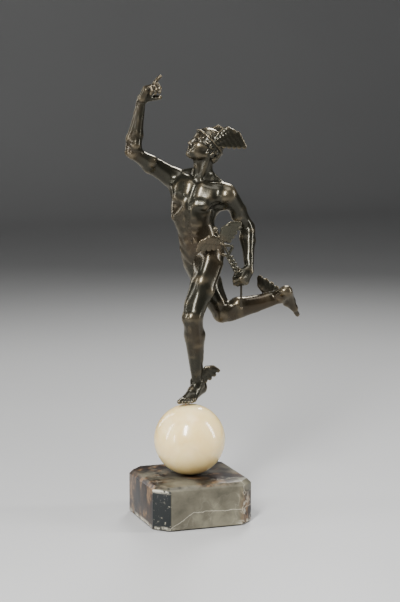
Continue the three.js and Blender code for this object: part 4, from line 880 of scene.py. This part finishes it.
def new_mesh(name, verts, faces):
    mesh = bpy.data.meshes.new(name)
    verts = np.asarray(verts, np.float32)
    faces = np.asarray(faces, np.int32)
    mesh.vertices.add(len(verts))
    mesh.vertices.foreach_set("co", verts.ravel())
    mesh.loops.add(faces.size)
    mesh.loops.foreach_set("vertex_index", faces.ravel())
    mesh.polygons.add(len(faces))
    mesh.polygons.foreach_set("loop_start", np.arange(0, faces.size, faces.shape[1], dtype=np.int32))
    mesh.update(calc_edges=True)
    mesh.validate()
    ob = bpy.data.objects.new(name, mesh)
    bpy.context.collection.objects.link(ob)
    return only(ob)


# names the primitive that was just added
def named(name):
    ob = bpy.context.object
    ob.name = name
    return ob


def apply_all(ob):
    only(ob)
    for modifier in list(ob.modifiers):
        bpy.ops.object.modifier_apply(modifier=modifier.name)
    bpy.ops.object.transform_apply(location=True, rotation=True, scale=True)


def modify(ob, kind, **settings):
    modifier = ob.modifiers.new(kind.lower(), kind)
    for key, value in settings.items():
        setattr(modifier, key, value)
    apply_all(ob)


def cut_away(ob, cutter):
    modify(ob, "BOOLEAN", object=cutter, solver="EXACT")
    bpy.data.objects.remove(cutter, do_unlink=True)


# thins a mesh to a number of triangles, most where it is flat
def lighten(ob, triangles):
    now = sum(len(p.vertices) - 2 for p in ob.data.polygons)
    if now > triangles:
        modify(ob, "DECIMATE", ratio=triangles / now)


def read(items, key, width, kind=float):
    values = np.empty(len(items) * width, kind)
    items.foreach_get(key, values)
    return values.reshape(-1, width)


# keeps the connected body of a mesh that lies nearest to a point
def keep_main_body(ob, inner_point):
    only(ob)
    bpy.ops.object.mode_set(mode="EDIT")
    bpy.ops.mesh.select_all(action="DESELECT")
    bpy.ops.object.mode_set(mode="OBJECT")
    apart = read(ob.data.vertices, "co", 3, np.float32) - np.asarray(inner_point)
    ob.data.vertices[int(np.argmin((apart ** 2).sum(1)))].select = True
    bpy.ops.object.mode_set(mode="EDIT")
    bpy.ops.mesh.select_mode(type="VERT")
    bpy.ops.mesh.select_linked()
    bpy.ops.mesh.select_all(action="INVERT")
    bpy.ops.mesh.delete(type="VERT")
    bpy.ops.object.mode_set(mode="OBJECT")


# stores how far each point stands out of its surroundings (+) or lies in a hollow (-), from -1 to 1
def store_relief(ob, name, rounds, depth):
    mesh = ob.data
    n = len(mesh.vertices)
    co = read(mesh.vertices, "co", 3)
    a, b = read(mesh.edges, "vertices", 2, np.int32).T
    count = np.maximum(np.bincount(a, minlength=n) + np.bincount(b, minlength=n), 1)
    soft = co.copy()
    for _ in range(rounds):
        soft = 0.5 * soft + 0.5 * neighbour_mean(soft, a, b, count)
    out = ((co - soft) * read(mesh.vertices, "normal", 3)).sum(1, keepdims=True)
    relief = np.clip(out / depth, -1, 1)
    for _ in range(3):
        relief = 0.5 * relief + 0.5 * neighbour_mean(relief, a, b, count)
    layer = mesh.attributes.new(name, "FLOAT", "POINT")
    layer.data.foreach_set("value", relief.ravel().astype(np.float32))


# node trees: values go into sockets as links or as plain settings
def feed(tree, sockets, values):
    for key, value in values.items():
        value = getattr(value, "socket", value)
        if isinstance(value, bpy.types.NodeSocket):
            tree.links.new(value, sockets[key])
        else:
            sockets[key].default_value = value


def add_node(tree, kind, inputs=None, **settings):
    node = tree.nodes.new(kind)
    for key, value in settings.items():
        setattr(node, key, value)
    feed(tree, node.inputs, inputs or {})
    return node


# a number in a node tree: arithmetic on it adds math nodes
class Value:
    def __init__(self, tree, socket):
        self.tree = tree
        self.socket = socket

    def reckon(self, operation, *values):
        node = add_node(self.tree, "ShaderNodeMath", dict(enumerate(values)), operation=operation)
        return Value(self.tree, node.outputs[0])

    def __add__(self, other):
        return self.reckon("ADD", self, other)

    def __sub__(self, other):
        return self.reckon("SUBTRACT", self, other)

    def __rsub__(self, other):
        return self.reckon("SUBTRACT", other, self)

    def __mul__(self, other):
        return self.reckon("MULTIPLY", self, other)

    def __truediv__(self, other):
        return self.reckon("DIVIDE", self, other)

    def __pow__(self, other):
        return self.reckon("POWER", self, other)

    def __abs__(self):
        return self.reckon("ABSOLUTE", self)

    # the larger of two values
    def top(self, other):
        return self.reckon("MAXIMUM", self, other)

    # the same value kept between 0 and 1
    def clip(self):
        self.socket.node.use_clamp = True
        return self

    # how far it lies past a mark, or short of it, times a gain and kept between 0 and 1
    def past(self, mark, gain):
        return ((self - mark).clip() * gain).clip()

    def short_of(self, mark, gain):
        return ((mark - self).clip() * gain).clip()


def ramp(tree, factor, stops):
    node = add_node(tree, "ShaderNodeValToRGB", {"Fac": factor})
    elements = node.color_ramp.elements
    while len(elements) < len(stops):
        elements.new(0.5)
    for element, (position, color) in zip(elements, stops):
        element.position = position
        element.color = color
    return node.outputs["Color"]


def mixed(tree, factor, a, b):
    return add_node(tree, "ShaderNodeMix", {0: factor, 6: a, 7: b}, data_type="RGBA").outputs[2]


def noise(tree, vector, scale, detail=3.0, roughness=0.5, distortion=0.0):
    node = add_node(tree, "ShaderNodeTexNoise", {"Vector": vector, "Scale": scale, "Detail": detail,
                                                 "Roughness": roughness, "Distortion": distortion})
    return Value(tree, node.outputs["Fac"])


def coordinates(tree, place):
    return [Value(tree, out) for out in add_node(tree, "ShaderNodeSeparateXYZ", {"Vector": place}).outputs]


def bump(tree, height, strength, distance):
    inputs = {"Strength": strength, "Distance": distance, "Height": height}
    return add_node(tree, "ShaderNodeBump", inputs).outputs[0]


# a node group with a vector and numbers going in, and numbers coming out
def new_group(name, numbers, results):
    tree = bpy.data.node_groups.new(name, "ShaderNodeTree")
    tree.interface.new_socket("Vector", in_out="INPUT", socket_type="NodeSocketVector")
    for label, default in numbers.items():
        socket = tree.interface.new_socket(label, in_out="INPUT", socket_type="NodeSocketFloat")
        socket.default_value = default
    for label in results:
        tree.interface.new_socket(label, in_out="OUTPUT", socket_type="NodeSocketFloat")
    entry = {socket.name: Value(tree, socket) for socket in tree.nodes.new("NodeGroupInput").outputs}
    return tree, entry, tree.nodes.new("NodeGroupOutput").inputs


def group_values(tree, name, inputs):
    node = add_node(tree, "ShaderNodeGroup", inputs, node_tree=bpy.data.node_groups[name])
    return {socket.name: Value(tree, socket) for socket in node.outputs}


# rubbed high spots and dark hollows from a piece's relief, broken up by a blotchy pattern
def wear_group():
    if "Wear" in bpy.data.node_groups:
        return
    numbers = {"Relief": 0.0, "Rubbed": 0.5, "Blotch Scale": 30.0}
    tree, entry, leave = new_group("Wear", numbers, ("High", "Low", "Blotch"))
    blotch = noise(tree, entry["Vector"], entry["Blotch Scale"], 4.0, 0.6)
    relief = entry["Relief"]
    high = relief.reckon("MULTIPLY_ADD", relief, entry["Rubbed"], -0.14).clip()
    high = (high * (blotch + 0.35)).clip()
    feed(tree, leave, {"High": high, "Low": relief.short_of(-0.03, 3.0), "Blotch": blotch})


def new_material(name):
    material = bpy.data.materials.new(name)
    material.use_nodes = True
    tree = material.node_tree
    tree.nodes.clear()
    shader = tree.nodes.new("ShaderNodeBsdfPrincipled")
    add_node(tree, "ShaderNodeOutputMaterial", {0: shader.outputs[0]})
    place = tree.nodes.new("ShaderNodeTexCoord").outputs["Object"]
    return material, tree, shader, place


def rgba(color, k=1.0):
    return (color[0] * k, color[1] * k, color[2] * k, 1.0)


def bronze_material(name, settings, lighter=1.0):
    wear_group()
    material, tree, shader, place = new_material(name)
    relief = add_node(tree, "ShaderNodeAttribute", attribute_name="relief").outputs["Fac"]
    inputs = {"Vector": place, "Relief": relief, "Rubbed": 1.15, "Blotch Scale": 26.0}
    wear = group_values(tree, "Wear", inputs)
    # a little redder towards the raised arm, a little greener towards the kicked leg
    cloud = noise(tree, place, 9.0, 3.0, 0.55) - coordinates(tree, place)[0] * 0.4
    # colours scaled by lighter, which paints the staff's bronze lighter as a painted highlight
    plain, warm, rubbed = (rgba(c, lighter) for c in (settings.patina, settings.warm_patina, settings.rubbed))
    patina = mixed(tree, cloud.past(0.48, 2.4), plain, warm)
    worn = mixed(tree, wear["High"], patina, rubbed)
    grain = noise(tree, place, 420.0, 2.0, 0.5) * 0.3 + noise(tree, place, 90.0, 2.0, 0.5)
    feed(tree, shader.inputs, {
        "Base Color": mixed(tree, wear["Low"] * 0.8, worn, rgba(settings.hollow)),
        "Roughness": wear["Blotch"] * 0.14 + 0.20 + wear["Low"] * 0.25,
        "Metallic": (wear["High"] * 0.35 + 0.60).clip(),
        "Specular Tint": (1.0, 0.91, 0.72, 1.0),
        "Coat Weight": 0.15,
        "Coat Roughness": 0.12,
        "Normal": bump(tree, grain, 0.30, 0.0006)})
    return material


def alabaster_material(settings):
    material, tree, shader, place = new_material("Alabaster")
    cloud = noise(tree, place, 22.0, 4.0, 0.55, 0.6)
    wave = {"Vector": place, "Scale": 9.0, "Distortion": 9.0, "Detail": 3.0, "Detail Scale": 1.6}
    bands = add_node(tree, "ShaderNodeTexWave", wave, wave_type="BANDS", bands_direction="DIAGONAL")
    color = mixed(tree, cloud.past(0.40, 3.5), rgba(settings.alabaster), rgba(settings.alabaster_cloud))
    vein = Value(tree, bands.outputs["Fac"]) ** 8.0 * 0.12
    feed(tree, shader.inputs, {
        "Base Color": mixed(tree, vein, color, rgba(settings.alabaster_vein)),
        "Roughness": cloud * 0.10 + 0.14,
        "Subsurface Weight": 0.35,
        "Subsurface Scale": 0.012,
        "Subsurface Radius": (1.0, 0.75, 0.45),
        "Coat Weight": 0.4,
        "Coat Roughness": 0.08})
    return material


# thin bright line where a warped sheet of distance crosses zero
def vein_group():
    if "Vein" in bpy.data.node_groups:
        return
    tree, entry, leave = new_group("Vein", {"Scale": 10.0, "Width": 0.02, "Density": 0.5}, ("Line",))
    wave = noise(tree, entry["Vector"], entry["Scale"], 3.0, 0.55)
    line = (1.0 - abs(wave - 0.5) / entry["Width"]).clip()
    patch = noise(tree, entry["Vector"], entry["Scale"] * 0.37, 2.0, 0.5)
    shown = ((patch - (1.0 - entry["Density"])) * 8.0).clip()
    feed(tree, leave, {"Line": line * shown})


def marble_material(settings):
    vein_group()
    material, tree, shader, place = new_material("Veined marble")
    coarse = {"Vector": place, "Scale": 14.0, "Detail": 4.0, "Roughness": 0.6}
    warp = add_node(tree, "ShaderNodeTexNoise", coarse).outputs["Color"]
    shift = {0: warp, 1: (0.05, 0.05, 0.05), 2: place}
    flow = add_node(tree, "ShaderNodeVectorMath", shift, operation="MULTIPLY_ADD").outputs[0]
    body = noise(tree, flow, 20.0, 5.0, 0.6)
    grey = ramp(tree, body, [(0.34, rgba(settings.marble, 0.6)), (0.50, rgba(settings.marble)),
                             (0.62, rgba(settings.marble_olive))])
    # darker and browner towards the left side, and in clouds over the top and by the right edge, than on the
    # front
    x, y, z = coordinates(tree, place)
    left = x.short_of(LEFT_FROM, 300.0)
    above = z.past(TOP_FROM, 600.0)
    edge = x.past(RIGHT_FROM, 80.0)
    brown = left.top(above.top(edge) * noise(tree, flow, 15.0, 3.0, 0.6).past(0.34, 7.0))
    stretch = {0: flow, 1: (1.0, 1.0, 0.4)}
    upright = add_node(tree, "ShaderNodeVectorMath", stretch, operation="MULTIPLY").outputs[0]
    earth = ramp(tree, noise(tree, upright, 36.0, 4.0, 0.65), [
        (0.40, rgba(settings.marble_dark)), (0.53, rgba(settings.marble_brown)),
        (0.60, rgba(settings.marble_rust)), (0.66, rgba(settings.marble_brown, 0.6))])
    color = mixed(tree, brown, grey, earth)
    # slate-dark front left corner with pale specks
    corner = ((x + y) * -1.0).past(CORNER_FROM, 500.0)
    specks = noise(tree, place, 230.0, 4.0, 0.7).past(0.60, 7.0)
    slate = mixed(tree, specks, rgba(settings.marble_slate), rgba(settings.marble_vein, 0.8))
    color = mixed(tree, corner, color, slate)
    dark = noise(tree, flow, 24.0, 3.0, 0.6).past(0.56, 9.0) * (above + (left + edge)).clip()
    color = mixed(tree, dark, color, rgba(settings.marble_dark))
    # one long vein climbs from the lower left of the front and runs on level
    sheet = z - VEIN_LEVEL + (VEIN_BEND - x).top(0.0) * 0.62
    sheet = sheet + (noise(tree, place, 30.0, 4.0, 0.6) - 0.5) * 0.014
    long_vein = (1.0 - abs(sheet) / VEIN_HALF_WIDTH).clip()
    broad = group_values(tree, "Vein", {"Vector": flow, "Scale": 12.0, "Width": 0.010, "Density": 0.52})
    hair = group_values(tree, "Vein", {"Vector": flow, "Scale": 30.0, "Width": 0.020, "Density": 0.50})
    vein = broad["Line"].top(hair["Line"] * 0.7) * (above.top(left.top(edge)) + 0.15).clip()
    vein = vein.top(long_vein * 0.6)
    # whitish crust at the top of the front left corner and along the chipped foot
    crust = corner * z.past(CRUST_FROM, 250.0)
    crust = crust.top(z.short_of(FOOT_UP_TO, 300.0) * abs(x).past(0.040, 60.0))
    vein = vein.top(crust * noise(tree, flow, 75.0, 4.0, 0.65).past(0.47, 9.0) * 0.85)
    feed(tree, shader.inputs, {
        "Base Color": mixed(tree, vein, color, rgba(settings.marble_vein)),
        "Roughness": body * 0.16 + 0.24,
        "Specular IOR Level": 0.2,
        "Normal": bump(tree, body - vein, 0.10, 0.0005)})
    return material


def pad_material(settings):
    material, tree, shader, place = new_material("Pad")
    grain = noise(tree, place, 900.0, 2.0, 0.5)
    feed(tree, shader.inputs, {
        "Base Color": mixed(tree, grain, rgba(settings.pad, 0.85), rgba(settings.pad, 1.1)),
        "Roughness": grain * 0.2 + 0.45,
        "Normal": bump(tree, grain, 0.3, 0.0002)})
    return material


def floor_material():
    material, tree, shader, place = new_material("Pale floor")
    shade = noise(tree, place, 1.2, 2.0, 0.5)
    feed(tree, shader.inputs, {
        "Base Color": mixed(tree, shade, (0.37, 0.37, 0.365, 1), (0.41, 0.41, 0.405, 1)),
        "Roughness": 0.55})
    return material


def color_prop(label, text, default):
    return bpy.props.FloatVectorProperty(name=label, description=text, default=default, subtype="COLOR",
                                         size=3, min=0.0, max=1.0)


def length_prop(label, text, default):
    return bpy.props.FloatProperty(name=label, description=text, default=default, subtype="DISTANCE",
                                   unit="LENGTH", min=0.0, precision=5)


class StatuetteSizes(bpy.types.PropertyGroup):
    stature: length_prop("Stature", "Height that the figure would have standing straight", 0.385)
    skin_step: bpy.props.FloatProperty(
        name="Skin step", description="Spacing of the grid for the figure, in thousandths of the stature",
        min=0.8, max=6.0, default=1.7)
    rod: length_prop("Staff rod", "Thickness of the staff's rod", 0.0037)
    tail: length_prop("Staff tail", "Thickness of the rod that hangs below the fist", 0.003)
    tail_reach: length_prop("Tail length", "How far the staff's tail hangs below the fist", 0.04158)
    corner_cut: length_prop("Corner cut", "How far the block's corners are cut back", 0.0185)
    top_bevel: length_prop("Top bevel", "Bevel round the block's top", 0.0055)
    edge_round: length_prop("Edge rounding", "Softening of the block's polished edges", 0.0006)
    pad_round: length_prop("Pad rounding", "Softening of the pads' edges", 0.0004)
    seat_flat: length_prop("Ball seat", "How much is ground off the ball where it sits", 0.0006)
    waver: length_prop("Ball waver", "Unevenness of the ball's surface", 0.0003)


class StatuetteColors(bpy.types.PropertyGroup):
    patina: color_prop("Patina", "Dark brown patina of the bronze", (0.016, 0.0155, 0.011))
    warm_patina: color_prop("Warm patina", "Redder patches of the patina", (0.056, 0.032, 0.015))
    rubbed: color_prop("Rubbed bronze", "Bronze where the patina is rubbed thin", (0.25, 0.200, 0.125))
    hollow: color_prop("Hollows", "Wax and dust in the hollows", (0.010, 0.009, 0.007))
    alabaster: color_prop("Alabaster", "Main colour of the ball", (0.77, 0.57, 0.24))
    alabaster_cloud: color_prop("Alabaster clouds", "Paler clouds in the ball", (0.86, 0.70, 0.37))
    alabaster_vein: color_prop("Alabaster veins", "Faint honey-coloured veins", (0.60, 0.42, 0.22))
    marble: color_prop("Marble", "Main colour of the block", (0.105, 0.096, 0.070))
    marble_dark: color_prop("Dark marble", "Darkest parts of the block", (0.007, 0.006, 0.006))
    marble_olive: color_prop("Olive marble", "Olive parts of the block", (0.160, 0.148, 0.105))
    marble_brown: color_prop("Brown marble", "Brown parts of the block", (0.030, 0.017, 0.010))
    marble_slate: color_prop("Slate marble", "Dark front left corner of the block", (0.014, 0.016, 0.016))
    marble_vein: color_prop("Marble veins", "Pale veins of the block", (0.55, 0.51, 0.40))
    marble_rust: color_prop("Rust marble", "Ochre and rust patches of the block", (0.17, 0.100, 0.048))
    pad: color_prop("Pads", "Colour of the pads under the block", (0.55, 0.54, 0.50))


def sizes():
    return bpy.context.scene.statuette_sizes


def colors():
    return bpy.context.scene.statuette_colors


# from thousandths of the stature to metres in the frame
def placed(points):
    return np.asarray(points) * (sizes().stature / 1000) + np.array([0.0, 0.0, float(BALL_BOX[1][2])])


# a bronze piece from skinned clay: the body at the given point, thinned, with its relief stored
def cast(name, verts, quads, inner_point, triangles, rounds, depth):
    ob = new_mesh(name, placed(verts), quads)
    keep_main_body(ob, placed([inner_point])[0])
    lighten(ob, triangles)
    bpy.ops.object.shade_smooth()
    store_relief(ob, "relief", rounds, depth)
    return ob


class STATUETTE_OT_figure(bpy.types.Operator):
    """Models the bronze figure with its winged hat and winged ankles"""
    bl_idname = "statuette.figure"
    bl_label = "Figure"

    def execute(self, context):
        clay = Clay()
        joints = figure(clay)
        step = sizes().skin_step * 1.0
        verts, quads = skin(clay, step, 2)
        # head, hands, feet and ankle wings keep their fine modelling
        fine = [(joints["head"], 150), (go(joints["wrist_R"], 50, -62, 57), 75),
                (grip(joints).at([35, 0, 0]), 55), (joints["toe_L"], 75),
                (go(joints["ankle_L"], 30, -74, 20), 50), (go(joints["ankle_R"], 40, 108, 40), 45),
                (go(joints["ankle_R"], 60, -130, -50), 50)]
        verts = even_out(verts, quads, int(EVEN_REACH / step), fine)
        ob = cast("figure_bronze", verts, quads, joints["chest"], FIGURE_TRIANGLES, *FIGURE_RELIEF)
        ob.data.materials.append(bronze_material("Bronze patina", colors()))
        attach(ob, "root")
        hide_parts("figure")
        return {"FINISHED"}


class STATUETTE_OT_staff(bpy.types.Operator):
    """Models the staff with its knob, two wings and two snakes"""
    bl_idname = "statuette.staff"
    bl_label = "Staff"

    def execute(self, context):
        clay = Clay()
        joints = skeleton()
        caduceus(clay, joints)
        hold = staff_frame(joints)
        to_units = 1000 / sizes().stature
        rod = sizes().rod / 2 * to_units
        tail = sizes().tail / 2 * to_units
        end = go(hold.start, sizes().tail_reach * to_units, 0, -90)
        clay.cone(hold.start, rod, hold.at([70, 0, 0]), rod, 1)
        clay.cone(hold.start, tail, end, tail, 1)
        clay.egg(end, [tail * 1.4] * 3, hold.axes(), 1)
        verts, quads = skin(clay, STAFF_STEP, 2)
        ob = cast("staff_bronze", verts, quads, hold.at([200, 0, 0]), STAFF_TRIANGLES, *STAFF_RELIEF)
        # the staff's bronze is painted lighter: painted highlight for the light its wings catch
        ob.data.materials.append(bronze_material("Staff bronze", colors(), STAFF_PAINTED_LIGHTER))
        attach(ob, "root")
        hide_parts("caduceus")
        return {"FINISHED"}


class STATUETTE_OT_ball(bpy.types.Operator):
    """Turns the alabaster ball"""
    bl_idname = "statuette.ball"
    bl_label = "Ball"

    def execute(self, context):
        low, high = (np.array(corner) for corner in BALL_BOX)
        bpy.ops.mesh.primitive_uv_sphere_add(segments=160, ring_count=96, radius=float((high - low)[2]) / 2,
                                             location=tuple((low + high) / 2))
        ob = named("alabaster_ball")
        apply_all(ob)
        # a flat ground off where it sits, and the faint waver of a ball turned by hand
        bpy.ops.object.mode_set(mode="EDIT")
        bpy.ops.mesh.select_all(action="SELECT")
        seat = (0.0, 0.0, float(low[2]) + sizes().seat_flat)
        bpy.ops.mesh.bisect(plane_co=seat, plane_no=(0, 0, -1), clear_outer=True, use_fill=True)
        bpy.ops.object.mode_set(mode="OBJECT")
        waver = bpy.data.textures.new("waver", "CLOUDS")
        waver.noise_scale = 0.03
        modify(ob, "DISPLACE", texture=waver, strength=sizes().waver, mid_level=1.0)
        bpy.ops.object.shade_smooth()
        ob.data.materials.append(alabaster_material(colors()))
        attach(ob, "root")
        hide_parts("ball")
        return {"FINISHED"}


# selects the edges of the mesh being edited that a test passes, by their two ends
def pick_edges(ob, test):
    bpy.ops.mesh.select_all(action="DESELECT")
    bpy.ops.mesh.select_mode(type="EDGE")
    bpy.ops.object.mode_set(mode="OBJECT")
    mesh = ob.data
    for edge in mesh.edges:
        a, b = (mesh.vertices[i].co for i in edge.vertices)
        edge.select = test(a, b)
    bpy.ops.object.mode_set(mode="EDIT")


class STATUETTE_OT_block(bpy.types.Operator):
    """Cuts the marble block with its cut corners, its bevelled top and the seat of the ball"""
    bl_idname = "statuette.block"
    bl_label = "Marble block"

    def execute(self, context):
        low, high = (Vector(corner) for corner in BLOCK_BOX)
        bpy.ops.mesh.primitive_cube_add(size=1.0, location=(low + high) / 2)
        ob = named("marble_block")
        ob.scale = high - low
        bpy.ops.object.transform_apply(location=True, rotation=True, scale=True)
        bpy.ops.object.mode_set(mode="EDIT")
        pick_edges(ob, lambda a, b: abs(a.z - b.z) > 0.01)
        bpy.ops.mesh.bevel(offset=sizes().corner_cut, offset_type="OFFSET", segments=1)
        pick_edges(ob, lambda a, b: min(a.z, b.z) > high.z - 1e-4)
        bpy.ops.mesh.bevel(offset=sizes().top_bevel, offset_type="OFFSET", segments=1)
        bpy.ops.object.mode_set(mode="OBJECT")
        edges = {"segments": 3, "limit_method": "ANGLE", "angle_limit": radians(20)}
        modify(ob, "BEVEL", width=sizes().edge_round, **edges)
        radius = float(BALL_BOX[1][2] - BALL_BOX[0][2]) / 2 + SEAT_ROOM
        bpy.ops.mesh.primitive_uv_sphere_add(segments=96, ring_count=64, radius=radius,
                                             location=[(a + b) / 2 for a, b in zip(*BALL_BOX)])
        cut_away(ob, named("seat_cutter"))
        for x, y, size in CHIPS:
            bpy.ops.mesh.primitive_ico_sphere_add(subdivisions=2, radius=size / 1000, location=(x, y, low.z))
            chip = named("chip_cutter")
            chip.scale = (1.8, 0.9, 1.0)
            chip.rotation_euler = (0.3, 0.5, atan2(y, x) + radians(90))
            cut_away(ob, chip)
        only(ob)
        bpy.ops.object.shade_smooth_by_angle(angle=radians(28))
        ob.data.materials.append(marble_material(colors()))
        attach(ob, "root")
        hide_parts("marble_base")
        return {"FINISHED"}


class STATUETTE_OT_pads(bpy.types.Operator):
    """Makes the four low pads under the block"""
    bl_idname = "statuette.pads"
    bl_label = "Pads"

    def execute(self, context):
        material = pad_material(colors())
        for place in ("front_left", "front_right", "back_left", "back_right"):
            low, high = (Vector(corner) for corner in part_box("pad_" + place))
            size = high - low
            bpy.ops.mesh.primitive_cylinder_add(vertices=48, radius=size.x / 2, depth=size.z,
                                                location=(low + high) / 2)
            ob = named("pad_disc_" + place)
            modify(ob, "BEVEL", width=sizes().pad_round, segments=3, limit_method="ANGLE")
            bpy.ops.object.shade_smooth_by_angle(angle=radians(35))
            ob.data.materials.append(material)
            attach(ob, "root")
            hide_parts("pad_" + place)
        return {"FINISHED"}


# puts a light or the camera into the scene, looking back along a direction
def aimed(name, data, middle, away, distance):
    ob = bpy.data.objects.new(name, data)
    bpy.context.scene.collection.objects.link(ob)
    ob.location = middle + away * distance
    ob.rotation_euler = away.to_track_quat("Z", "Y").to_euler()
    return ob


class STATUETTE_OT_stage(bpy.types.Operator):
    """Sets up the pale floor, the studio light and the camera"""
    bl_idname = "statuette.stage"
    bl_label = "Stage"

    def execute(self, context):
        scene = context.scene
        bpy.ops.mesh.primitive_plane_add(size=1.0, location=FLOOR_MIDDLE)
        floor = named("floor")
        floor.scale = FLOOR_SIZE
        bpy.ops.object.transform_apply(location=True, rotation=True, scale=True)
        bpy.ops.object.mode_set(mode="EDIT")
        pick_edges(floor, lambda a, b: min(a.y, b.y) > 3.0)
        bpy.ops.mesh.extrude_region_move(TRANSFORM_OT_translate={"value": (0, 0, SWEEP_HEIGHT)})
        bpy.ops.object.mode_set(mode="OBJECT")
        modify(floor, "BEVEL", width=SWEEP_RADIUS, segments=24)
        bpy.ops.object.shade_smooth()
        floor.data.materials.append(floor_material())
        world = bpy.data.worlds.new("Studio")
        scene.world = world
        world.use_nodes = True
        background = world.node_tree.nodes["Background"]
        background.inputs["Color"].default_value = SKY
        background.inputs["Strength"].default_value = SKY_STRENGTH
        for name, bearing, rise, distance, width, height, power in LIGHTS:
            light = bpy.data.lights.new(name, "AREA")
            light.shape = "RECTANGLE"
            light.size = width
            light.size_y = height
            light.energy = power
            aimed(name, light, Vector(LIT_PLACE), Vector(heading(bearing, rise)), distance)
        camera = bpy.data.cameras.new("camera")
        camera.sensor_fit = "VERTICAL"
        camera.sensor_height = SENSOR
        camera.lens = FOCAL_PIXELS / PICTURE_HEIGHT * SENSOR
        camera.clip_end = 50.0
        side = Vector((cos(radians(CAMERA_BEARING)), -sin(radians(CAMERA_BEARING)), 0.0))
        middle = side * CAMERA_ASIDE + Vector((0, 0, CAMERA_HEIGHT))
        away = Vector(heading(CAMERA_BEARING, CAMERA_RISE))
        scene.camera = aimed("camera", camera, middle, away, CAMERA_DISTANCE)
        return {"FINISHED"}


STEPS = ("stage", "figure", "staff", "ball", "block", "pads")


class STATUETTE_PT_panel(bpy.types.Panel):
    bl_label = "Statuette"
    bl_idname = "STATUETTE_PT_panel"
    bl_space_type = "VIEW_3D"
    bl_region_type = "UI"
    bl_category = "Statuette"

    def draw(self, context):
        for name in STEPS:
            self.layout.operator("statuette." + name)
        for group in (context.scene.statuette_sizes, context.scene.statuette_colors):
            for key in group.bl_rna.properties.keys():
                if key not in ("rna_type", "name"):
                    self.layout.prop(group, key)


CLASSES = (StatuetteSizes, StatuetteColors, STATUETTE_OT_figure, STATUETTE_OT_staff, STATUETTE_OT_ball,
           STATUETTE_OT_block, STATUETTE_OT_pads, STATUETTE_OT_stage, STATUETTE_PT_panel)


def register():
    for cls in CLASSES:
        bpy.utils.register_class(cls)
    bpy.types.Scene.statuette_sizes = bpy.props.PointerProperty(type=StatuetteSizes)
    bpy.types.Scene.statuette_colors = bpy.props.PointerProperty(type=StatuetteColors)


def unregister():
    del bpy.types.Scene.statuette_sizes
    del bpy.types.Scene.statuette_colors
    for cls in reversed(CLASSES):
        bpy.utils.unregister_class(cls)


def main():
    register()
    for name in STEPS:
        getattr(bpy.ops.statuette, name)()


if __name__ == "__main__":
    main()
